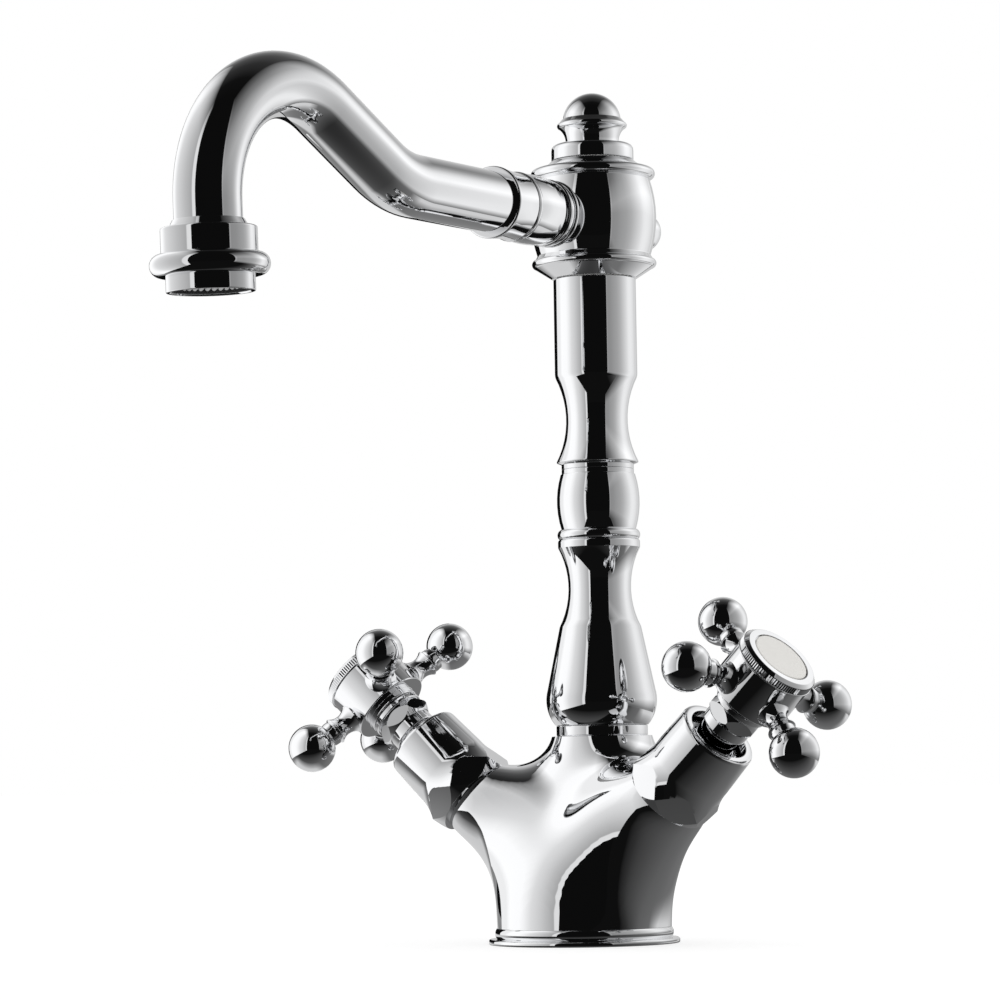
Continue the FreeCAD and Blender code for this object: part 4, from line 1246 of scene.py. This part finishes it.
@dataclass
class Outlet(SubAssembly):
    """Beaded tip at the spout's end and the aerator in it."""

    mouth: float = -23.2
    foot: float = -19.2
    bead_top: float = -13.4
    top: float = -6.7
    cone_top: float = -4.8
    tip_r: float = 12.35
    bead_r: float = 15.4
    cone_r: float = 9.2
    cone_foot_r: float = 10.2
    cup_r: float = 11.4
    mouth_r: float = 10.1
    pegs: tuple = ((8.6, 32), (6.6, 24), (4.6, 16), (2.6, 10))
    peg_r: float = 0.62
    core_r: float = 10.05
    lining_r: float = 9.7
    core_foot: float = -20.6
    core_top: float = -18.2
    peg_foot: float = -22.1
    peg_root: float = 0.3
    socket_wall: float = 0.6
    socket_h: float = 1.5
    bead_edge: float = 0.25
    top_edge: float = 0.6
    cup_overlap: float = 0.5
    cup_edge: float = 0.35
    mouth_bevel: float = 0.4
    lining_back: float = 0.5

    def build(self) -> None:
        """Makes the tip, the aerator's cup and its insert."""
        socket_r, socket_top = self.cup_r - self.socket_wall, self.foot + self.socket_h
        tip = Outline(0, socket_top).to(socket_r, socket_top, 0).to(socket_r, self.foot, 0)
        tip.to(self.tip_r, self.foot, FINE).swell(self.bead_r, (self.tip_r, self.bead_top), self.bead_edge)
        tip.to(self.tip_r, self.top, self.top_edge).to(self.cone_foot_r, self.top, KEEN)
        tip.to(self.cone_r, self.cone_top, KEEN).to(0, self.cone_top)
        self.turn_out("beaded_tip", tip, LAYOUT.outlet, Body.SPOUT, "spout_tip")
        cup_top = self.foot + self.cup_overlap
        cup = Outline(self.mouth_r, self.mouth + self.mouth_bevel)
        cup.to(self.mouth_r + self.mouth_bevel, self.mouth, CRISP).to(self.cup_r, self.mouth, self.cup_edge)
        cup.to(self.cup_r, cup_top).to(self.mouth_r, cup_top).close()
        self.turn_out("aerator_cup", cup, LAYOUT.outlet, Body.SPOUT, "aerator_housing")
        lining_foot = self.mouth + self.lining_back
        core = Outline(0, self.core_foot).to(self.lining_r, self.core_foot).to(self.lining_r, lining_foot)
        core.to(self.core_r, lining_foot).to(self.core_r, self.core_top).to(0, self.core_top)
        self.turn_out("aerator_core", core, LAYOUT.outlet, Body.SPOUT, slot=Slot.RUBBER)
        self.fit(self.comb(), Body.SPOUT, Slot.AERATOR, "aerator_insert")

    def comb(self) -> bpy.types.Object:
        """Makes the insert's rings of round pegs.

        Returns:
            The pegs as one piece.
        """
        low = self.peg_foot + self.peg_r
        root = self.core_foot + self.peg_root
        form = Outline(0, root).to(self.peg_r, root, 0).to(self.peg_r, low, 0)
        form.bow((self.peg_r * DIAGONAL, low - self.peg_r * DIAGONAL), (0, self.peg_foot), 0)
        peg = turned("peg", form, PEG_STEPS)
        copies = []
        for ring_r, count in self.pegs:
            for number in range(count):
                place = frame(yaw=360 * number / count) @ frame(x=ring_r)
                copies.append(copied(peg, f"peg_{len(copies) + 1}", place))
        dropped(peg)
        pegs = joined(*copies)
        pegs.name = pegs.data.name = "aerator_pegs"
        return polished(seat(pegs, LAYOUT.outlet))


@dataclass
class Valve(SubAssembly):
    """One side's fixed valve pieces: cover sleeve, gland and lock nut."""

    side: Side = Side.HOT
    foot: float = 45.0
    top: float = 70.0
    seam_r: float = 12.35
    corner_r: float = 14.2
    corner: float = 48.5
    flare_bow: tuple = (12.6, 52.3)
    waist_r: float = 12.05
    waist: float = 57.5
    rim_r: float = 11.6
    rim_edge: float = 1.6
    mouth_r: float = 9.0
    bore_r: float = 10.2
    mouth_h: float = 2.4
    flats: float = 24.7
    flats_turn: float = 0.0
    barrel_from: float = 52.0
    barrel_r: float = 8.4
    barrel_to: float = 66.6
    stem_r: float = 5.9
    gland_r: float = 6.9
    gland_from: float = 72.5
    ring_r: float = 8.0
    ring_from: float = 80.5
    ring_to: float = 82.2
    nut_from: float = 75.8
    nut_to: float = 80.3
    nut_flats: float = 14.6
    nut_turn: float = 0.0
    nut_chamfer_r: float = 1.25
    nut_chamfer_h: float = 1.9
    overcut: float = 1.0

    def build(self) -> None:
        """Makes the sleeve, the gland and the nut."""
        place = LAYOUT.valve(self.side)
        label = self.side.label
        cover = polished(seat(self.sleeve(), place), WRENCH_ANGLE)
        self.fit(cover, Body.MIXER, Slot.CHROME, f"{label}_valve_shroud")
        gland = Outline(0, self.barrel_from).to(self.barrel_r, self.barrel_from, 0)
        gland.to(self.barrel_r, self.barrel_to, SOFT).to(self.stem_r, self.barrel_to, 0)
        gland.to(self.stem_r, self.gland_from, FINE).to(self.gland_r, self.gland_from, FULL)
        gland.to(self.gland_r, self.ring_from, 0).to(self.ring_r, self.ring_from, BLUNT)
        gland.to(self.ring_r, self.ring_to, SOFT).to(0, self.ring_to)
        self.turn_out(f"{label}_gland_sleeve", gland, place, Body.MIXER, f"{label}_cartridge")
        nut = polished(seat(self.nut(), place), WRENCH_ANGLE)
        self.fit(nut, Body.MIXER, Slot.CHROME, f"{label}_lock_nut")

    def hexagon(self, name: str, flats: float, bottom: float, top: float, turn: float) -> bpy.types.Object:
        """Makes a hexagonal bar.

        Args:
            name: Name of the bar.
            flats: Width across its flats.
            bottom: Its lower end.
            top: Its upper end.
            turn: Turn about its axis in degrees.

        Returns:
            The bar on the origin's Z axis.
        """
        clear_selection()
        bpy.ops.mesh.primitive_cylinder_add(vertices=6, radius=flats / math.sqrt(3) * MM,
                                            depth=(top - bottom) * MM,
                                            location=(0, 0, (bottom + top) / 2 * MM),
                                            rotation=(0, 0, math.radians(turn)))
        piece = bpy.context.object
        piece.name = piece.data.name = name
        bpy.ops.object.transform_apply(location=True, rotation=True, scale=True)
        return piece

    def sleeve(self) -> bpy.types.Object:
        """Makes the cover sleeve with six wrench flats ground on its flared foot.

        Returns:
            The sleeve on the origin's Z axis.
        """
        outline = Outline(self.bore_r, self.foot).to(self.seam_r, self.foot, KEEN)
        outline.to(self.corner_r, self.corner, SOFT).bow(self.flare_bow, (self.waist_r, self.waist), 0)
        outline.to(self.rim_r, self.top, self.rim_edge).to(self.mouth_r, self.top, SOFT)
        mouth_foot = self.top - self.mouth_h
        outline.to(self.mouth_r, mouth_foot, FINE).to(self.bore_r, mouth_foot, 0).close()
        piece = turned(f"{self.side.label}_cover_sleeve", outline)
        bottom, top = self.foot - self.overcut, self.top + self.overcut
        bar = self.hexagon("bar", self.flats, bottom, top, self.flats_turn)
        use_modifier(piece, "BOOLEAN", operation="INTERSECT", object=bar, solver="EXACT")
        dropped(bar)
        return piece

    def nut(self) -> bpy.types.Object:
        """Makes the hexagon nut with its corners turned off.

        Returns:
            The nut on the origin's Z axis.
        """
        name = f"{self.side.label}_hexagon_nut"
        piece = self.hexagon(name, self.nut_flats, self.nut_from, self.nut_to, self.nut_turn)
        corner_r = self.nut_flats / math.sqrt(3)
        face_r = corner_r - self.nut_chamfer_r
        low, high = self.nut_from + self.nut_chamfer_h, self.nut_to - self.nut_chamfer_h
        form = Outline(0, self.nut_from).to(face_r, self.nut_from, 0).to(corner_r, low, 0)
        form.to(corner_r, high, 0).to(face_r, self.nut_to, 0).to(0, self.nut_to)
        rounder = turned("rounder", form)
        use_modifier(piece, "BOOLEAN", operation="INTERSECT", object=rounder, solver="EXACT")
        dropped(rounder)
        return piece


@dataclass
class Handle(SubAssembly):
    """One cross handle: hub, four ball arms, knurled bezel and index disc."""

    side: Side = Side.HOT
    turn: float = 0.0
    ball_at: float = 88.9
    collar: float = 82.4
    collar_r: float = 8.1
    hub_foot: float = 84.2
    hub_top: float = 96.9
    hub_r: float = 11.7
    hub_edge: float = 0.35
    arm_from: float = 6.0
    bell_r: float = 4.6
    bell_sink: float = 0.4
    bell_edge: float = 0.6
    waist: tuple = (3.0, 14.4)
    flare: tuple = (4.1, 17.6)
    ring_r: float = 3.6
    ring_to: float = 19.4
    ring_rise: float = 0.75
    ring_fall: float = 0.2
    groove: float = 0.35
    ball_seat: float = 0.15
    ball_r: float = 6.95
    ball_reach: float = 26.15
    arms: int = 4
    flange_r: float = 12.0
    flange_top: float = 97.3
    knurl_r: float = 11.8
    knurl_in_r: float = 11.2
    knurl_top: float = 99.2
    knurl_teeth: int = 100
    knurl_depth: float = 0.18
    rim_r: float = 11.7
    bezel_top_r: float = 10.7
    bezel_top: float = 100.3
    recess_r: float = 8.7
    recess: float = 99.2
    well_r: float = 9.2
    well_in_r: float = 7.2
    well: float = 94.0
    disc_r: float = 8.4

    @property
    def body(self) -> Body:
        """Body that this handle is."""
        return Body(f"{self.side.label}_handle")

    def build(self) -> None:
        """Makes the hub, arms, bezel and disc."""
        place = LAYOUT.valve(self.side)
        label = self.side.label
        hub = Outline(0, self.collar).to(self.collar_r, self.collar, BLUNT)
        hub.to(self.collar_r, self.hub_foot, KEEN).to(self.hub_r, self.hub_foot, BLUNT)
        hub.to(self.hub_r, self.hub_top, self.hub_edge).to(0, self.hub_top)
        self.turn_out(f"{label}_hub", hub, place, self.body, f"{label}_handle_hub")
        arm = self.arm()
        for number in range(self.arms):
            spoke = place @ frame(z=self.ball_at, yaw=self.turn + 360 * number / self.arms, pitch=90)
            copy = polished(copied(arm, f"{label}_ball_arm_{number + 1}", spoke))
            self.fit(copy, self.body, Slot.CHROME, f"{label}_handle_arm_{number + 1}")
        dropped(arm)
        bezel = polished(seat(joined(self.bezel(), self.knurl()), place), KNURL_ANGLE)
        bezel.name = bezel.data.name = f"{label}_knurled_bezel"
        self.fit(bezel, self.body, Slot.CHROME, f"{label}_index_bezel")
        disc = Outline(0, self.recess).to(self.disc_r, self.recess, 0)
        disc.to(self.disc_r, self.bezel_top, BLUNT).to(0, self.bezel_top)
        self.turn_out(f"{label}_bare_disc", disc, place, self.body, f"{label}_index_disc", slot=Slot.INDEX)

    def arm(self) -> bpy.types.Object:
        """Turns one arm with its ball.

        Returns:
            The arm along the origin's Z axis.
        """
        rise = math.sqrt(self.ball_r ** 2 - self.ring_r ** 2)
        neck = self.ball_reach - rise
        flare_end = self.flare[1]
        outline = Outline(0, self.arm_from).to(self.bell_r, self.arm_from, 0)
        outline.to(self.bell_r, self.hub_r - self.bell_sink, self.bell_edge).bow(self.waist, self.flare, SOFT)
        outline.to(self.ring_r - self.groove, flare_end + self.groove, CRISP)
        outline.to(self.ring_r, flare_end + self.ring_rise, KEEN)
        outline.to(self.ring_r, self.ring_to - self.ring_fall, KEEN)
        outline.to(self.ring_r - self.ring_fall, neck + self.ball_seat, HAIR)
        outline.bow((self.ball_r, self.ball_reach), (0, self.ball_reach + self.ball_r), 0)
        return turned("ball_arm", outline, ARM_STEPS)

    def bezel(self) -> bpy.types.Object:
        """Turns the bezel without its knurl.

        Returns:
            The bezel on the origin's Z axis.
        """
        outline = Outline(self.well_in_r, self.well).to(self.well_r, self.well, 0)
        outline.to(self.well_r, self.hub_top, 0).to(self.flange_r, self.hub_top, FINE)
        outline.to(self.flange_r, self.flange_top, FINE).to(self.knurl_in_r, self.flange_top, 0)
        outline.to(self.knurl_in_r, self.knurl_top, 0).to(self.rim_r, self.knurl_top, KEEN)
        outline.to(self.bezel_top_r, self.bezel_top, SOFT).to(self.recess_r, self.bezel_top, KEEN)
        outline.to(self.recess_r, self.recess, 0).to(self.well_in_r, self.recess, 0).close()
        return turned("bezel", outline)

    def knurl(self) -> bpy.types.Object:
        """Makes the knurled band: every other edge of a ring drawn inwards.

        Returns:
            The band on the origin's Z axis.
        """
        height = self.knurl_top - self.flange_top
        middle = self.flange_top + height / 2
        clear_selection()
        bpy.ops.mesh.primitive_cylinder_add(vertices=2 * self.knurl_teeth, radius=self.knurl_r * MM,
                                            depth=height * MM, end_fill_type="NOTHING",
                                            location=(0, 0, middle * MM))
        bpy.ops.object.transform_apply(location=True, rotation=True, scale=True)
        piece = started("knurl")
        bpy.ops.mesh.select_all(action="DESELECT")
        mesh = bmesh.from_edit_mesh(piece.data)
        for vertex in mesh.verts:
            place = math.atan2(vertex.co.y, vertex.co.x) * self.knurl_teeth / math.pi
            vertex.select_set(round(place) % 2 == 1)
        mesh.select_flush_mode()
        bmesh.update_edit_mesh(piece.data)
        share = 1 - self.knurl_depth / self.knurl_r
        bpy.ops.transform.resize(value=(share, share, 1), center_override=(0, 0, middle * MM))
        closed_up(piece)
        return piece


@dataclass
class Card:
    """An upright glowing card that only polished metal sees: its graded glow paints the reflections there."""

    name: str
    across: float
    ahead_from: float
    ahead_to: float
    top: float
    stops: list
    rise: list


@dataclass
class Studio:
    """Floor, glowing sheets that paint the reflections in polished metal, soft light and camera."""

    camera_place: tuple = (595.6, -892.3, 50.0)
    target: tuple = (-23.83, -4.72, 127.93)
    roll: float = -0.87
    lens: float = 134.4
    sensor: float = 36.0
    camera_range: float = 50000.0
    view_turn: float = 33.4
    floor_side: float = 12000.0
    floor_z: float = -0.05
    floor_grey: float = 0.85
    floor_glow: float = 1.3
    glow_share: float = 0.5
    # How far the world is darkened for glossy rays: painted dark reflections in the gaps between the cards.
    gap_dimming: float = 0.996
    # Side and depth of the dark sheet that paints reflected shade under the mixer; the ceiling sheet has the
    # same side.
    sheet_side: float = 1600.0
    dark_sheet_depth: float = 1500.0
    ceiling_z: float = 1000.0
    ceiling_depth: float = 1600.0
    back: float = -800.0
    back_top: float = 450.0
    # Height of the dark sheet, below the floor; the cards reach down to it.
    dark_sheet_z: float = -14.0

    @property
    def rightwards(self) -> Vector:
        """Level way to the right of the picture."""
        turn = math.radians(self.view_turn)
        return Vector((math.cos(turn), math.sin(turn), 0))

    @property
    def ahead(self) -> Vector:
        """Level way to the camera."""
        turn = math.radians(self.view_turn)
        return Vector((math.sin(turn), -math.cos(turn), 0))

    def build(self) -> None:
        """Sets the studio up."""
        scene = bpy.context.scene
        scene.view_settings.view_transform = "Standard"
        self.add_camera(scene)
        self.add_world(scene)
        self.add_floor()
        self.add_dark_sheet()
        for card in self.cards():
            self.add_card(card)
        self.add_ceiling()
        # Sheets behind the mixer whose glow paints the reflections in polished metal
        low, high = (0.0, self.back_top), (self.back_top, self.ceiling_z)
        self.add_back("back_card", across=480.0, width=1100.0, heights=low, levels=(0.6, 0.6))
        self.add_back("high_card", across=0.0, width=2400.0, heights=high, levels=(0.7, 0.2))

    def cards(self) -> list[Card]:
        """Cards to the left and right of the camera, whose graded glow paints the light and dark reflections
        in polished metal.

        Returns:
            The cards.
        """
        # Glow levels along each card and up it: painted highlights and painted shade for the reflections in
        # polished metal.
        left = [(0.0, 0.95), (0.19, 0.95), (0.27, 1.12), (0.42, 1.10), (0.48, 0.99), (0.555, 0.79),
                (0.61, 0.72), (0.74, 0.55), (0.86, 0.44), (0.878, 0.44), (0.897, 0.80), (1.0, 0.82)]
        right = [(0.0, 0.80), (0.15, 0.68), (0.23, 0.78), (0.343, 0.90), (0.396, 0.93), (0.44, 0.90),
                 (0.483, 0.78), (0.527, 0.67), (0.571, 0.56), (0.611, 0.47), (0.673, 0.39), (0.748, 0.345),
                 (0.832, 0.30), (0.957, 0.28), (0.97, 0.36), (1.0, 0.36)]
        left_rise = [(0.0, 1.0), (380.0, 1.0), (550.0, 0.5), (750.0, 0.05)]
        right_rise = [(0.0, 0.3), (70.0, 1.0), (240.0, 1.0), (300.0, 1.25), (380.0, 1.0), (480.0, 0.6),
                      (620.0, 0.3), (800.0, 0.05)]
        return [
            Card("left_card", across=-230.0, ahead_from=-240.0, ahead_to=335.0, top=750.0,
                 stops=left, rise=left_rise),
            Card("right_card", across=250.0, ahead_from=-420.0, ahead_to=385.0, top=800.0,
                 stops=right, rise=right_rise),
        ]

    def add_card(self, card: Card) -> None:
        """Puts up a card, whose glow, graded along it and up it, paints reflections in polished metal.

        Args:
            card: The card.
        """
        width = card.ahead_to - card.ahead_from
        middle = self.rightwards * card.across + self.ahead * (card.ahead_from + card.ahead_to) / 2
        middle.z = (self.dark_sheet_z + card.top) / 2
        self.add_sheet(card.name, upright(middle, self.ahead), width, card.top - self.dark_sheet_z)
        tree = self.glowing(card.name)
        tone = self.ramp(tree, self.ahead, card.ahead_from, width, card.stops)
        tree.glow(tree.layered("MULTIPLY", tone, self.climb(tree, card.rise)))

    def add_sheet(self, name: str, place: Matrix, width: float, height: float) -> None:
        """Adds a flat sheet to the studio.

        Args:
            name: Name of the sheet.
            place: Frame of its middle.
            width: Size along the frame's X.
            height: Size along the frame's Y.
        """
        clear_selection()
        bpy.ops.mesh.primitive_plane_add(size=1)
        sheet = bpy.context.object
        sheet.name = sheet.data.name = name
        seat(sheet, place @ Matrix.Diagonal((width * MM, height * MM, 1, 1)))

    @staticmethod
    def glowing(name: str) -> Tree:
        """Gives the sheet just added a glowing material of its own, which paints reflections, and shows it in
        polished metal only.

        Args:
            name: Name of the material.

        Returns:
            The material's node tree.
        """
        sheet = bpy.context.object
        made = bpy.data.materials.new(name)
        sheet.data.materials.append(made)
        only_in_metal(sheet)
        return Tree(made)

    def climb(self, tree: Tree, rise: list) -> bpy.types.NodeSocket:
        """Tone that changes with height.

        Args:
            tree: Node tree that it is for.
            rise: Heights with their levels.

        Returns:
            The tone.
        """
        stops = [(height / self.ceiling_z, level) for height, level in rise]
        return self.ramp(tree, UP, 0.0, self.ceiling_z, stops)

    def add_back(self, name: str, across: float, width: float, heights: tuple, levels: tuple) -> None:
        """Puts a glowing sheet far behind the mixer, whose glow paints reflections in polished metal.

        Args:
            name: Name of the sheet.
            across: Its middle, to the right of the mixer.
            width: Its width.
            heights: Its lower and upper edges.
            levels: How light it is at those edges.
        """
        bottom, top = heights
        middle = self.ahead * self.back + self.rightwards * across
        middle.z = (bottom + top) / 2
        self.add_sheet(name, upright(middle, self.rightwards), width, top - bottom)
        tree = self.glowing(name)
        tree.glow(self.climb(tree, list(zip(heights, levels))))

    def add_ceiling(self) -> None:
        """Hangs the dim glowing ceiling sheet that paints the dark reflection on the tops of polished metal.
        """
        stops = [(0.0, 0.2), (0.22, 0.08), (0.41, 0.03), (0.5, 0.02), (0.594, 0.006), (0.75, 0.004)]
        depth = self.ceiling_depth
        self.add_sheet("ceiling", frame(z=self.ceiling_z, yaw=self.view_turn), self.sheet_side, depth)
        tree = self.glowing("ceiling")
        tree.glow(self.ramp(tree, self.ahead, -depth / 2, depth, stops))

    def add_dark_sheet(self) -> None:
        """Lays the dark glowing sheet whose graded glow paints the shade and bright strips reflected in the
        undersides of polished metal.
        """
        # Glow levels of the dark sheet forwards, to the sides and behind: painted shade and painted bright
        # strips in the reflections.
        forward = [(0.0, 0.3), (0.3, 0.2), (0.46, 0.16), (0.5, 0.12), (0.526, 0.07), (0.553, 0.03),
                   (0.586, 0.005)]
        sideways = [(0.375, 0.1), (0.4, 1.0), (0.456, 1.0), (0.475, 0.0), (0.556, 0.0), (0.619, 1.0)]
        behind = [(0.46, 0.5), (0.5, 0.0)]
        side, depth = self.sheet_side, self.dark_sheet_depth
        self.add_sheet("dark_sheet", frame(z=self.dark_sheet_z, yaw=self.view_turn), side, depth)
        tree = self.glowing("dark_sheet")
        half = math.radians(self.view_turn / 2)
        half_turned = Vector((math.sin(half), -math.cos(half), 0))
        tone = self.ramp(tree, half_turned, -depth / 2, depth, forward)
        wings = tree.layered("MULTIPLY", self.ramp(tree, self.rightwards, -side / 2, side, sideways),
                             self.ramp(tree, self.ahead, -depth / 2, depth, behind))
        tree.glow(tree.layered("ADD", tone, wings))

    @staticmethod
    def ramp(tree: Tree, way: Vector, start: float, width: float, stops: list) -> bpy.types.NodeSocket:
        """Tone that changes across the studio.

        Args:
            tree: Node tree that it is for.
            way: Way across.
            start: Where the change starts, from the mixer along the way.
            width: Width that is crossed.
            stops: Shares of the width with their levels.

        Returns:
            The tone.
        """
        sockets = {0: tree.object_place(), 1: way}
        along = tree.node("ShaderNodeVectorMath", {"operation": "DOT_PRODUCT"}, sockets)
        share = (tree.value(along, "Value") - start * MM) * (1 / (width * MM))
        return tree.node("ShaderNodeValToRGB", {"stops": greys(stops)}, {"Fac": share}).outputs[0]

    def add_floor(self) -> None:
        """Lays the pale floor, which shows to the camera and keeps the shadow."""
        self.add_sheet("pale_floor", frame(z=self.floor_z), self.floor_side, self.floor_side)
        floor = bpy.context.object
        made = bpy.data.materials.new("pale_floor")
        tree = Tree(made)
        seen = tree.value(tree.node("ShaderNodeLightPath"), "Is Camera Ray")
        grey = colour(self.floor_grey, self.floor_grey, self.floor_grey)
        matt = tree.node("ShaderNodeBsdfDiffuse", None, {"Color": grey})
        glow = tree.node("ShaderNodeEmission", None, {"Color": WHITE, "Strength": seen * self.floor_glow})
        sockets = {"Fac": self.glow_share, 1: matt.outputs[0], 2: glow.outputs[0]}
        tree.surface(tree.node("ShaderNodeMixShader", None, sockets))
        floor.data.materials.append(made)
        floor.visible_glossy = False

    def add_world(self, scene: bpy.types.Scene) -> None:
        """Lights all round at a plain level, and leaves the gaps between the cards dark in polished metal.

        Args:
            scene: The scene.
        """
        scene.world = bpy.data.worlds.new("plain_room")
        tree = Tree(scene.world)
        gloss = tree.value(tree.node("ShaderNodeLightPath"), "Is Glossy Ray")
        # Glossy rays see the world almost black: painted dark reflections between the cards.
        level = 1.0 - gloss * self.gap_dimming
        room = tree.node("ShaderNodeBackground", None, {"Color": WHITE, "Strength": level})
        tree.surface(room, "ShaderNodeOutputWorld")

    def add_camera(self, scene: bpy.types.Scene) -> None:
        """Stands the camera where the photograph was taken from.

        Args:
            scene: The scene.
        """
        clear_selection()
        place, target = Vector(self.camera_place) * MM, Vector(self.target) * MM
        turn = (target - place).to_track_quat("-Z", "Y") @ Quaternion((0, 0, 1), math.radians(self.roll))
        bpy.ops.object.camera_add(location=place, rotation=turn.to_euler())
        camera = bpy.context.object
        camera.name = "camera"
        camera.data.lens = self.lens
        camera.data.sensor_width = self.sensor
        camera.data.clip_end = self.camera_range * MM
        scene.camera = camera


def upright(middle: Vector, way: Vector) -> Matrix:
    """Frame of an upright sheet.

    Args:
        middle: Middle of the sheet in millimetres.
        way: Level way along its width.

    Returns:
        The frame.
    """
    return Matrix.Translation(middle * MM) @ Matrix((way, UP, way.cross(UP))).transposed().to_4x4()


def only_in_metal(sheet: bpy.types.Object) -> None:
    """Lets only polished metal see a sheet.

    Args:
        sheet: The sheet.
    """
    sheet.visible_camera = False
    sheet.visible_diffuse = False
    sheet.visible_shadow = False
    sheet.visible_volume_scatter = False


def main() -> None:
    """Builds the mixer's pieces and the studio, and reports each piece."""
    logging.basicConfig(level=logging.INFO, format="%(message)s")
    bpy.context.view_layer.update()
    paints = Paints()
    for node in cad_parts.values():
        paints.dress_node(node)
    assemblies = [kind(paints) for kind in (Base, Casting, Column, Finial, Swivel, SwanNeck, Outlet)]
    for side in Side:
        handle_turn, flats_turn, nut_turn = TURNS[side]
        assemblies.append(Valve(paints, side, flats_turn=flats_turn, nut_turn=nut_turn))
        assemblies.append(Handle(paints, side, turn=handle_turn))
    for assembly in assemblies:
        assembly.build()
    Studio().build()


if __name__ == "__main__":
    main()
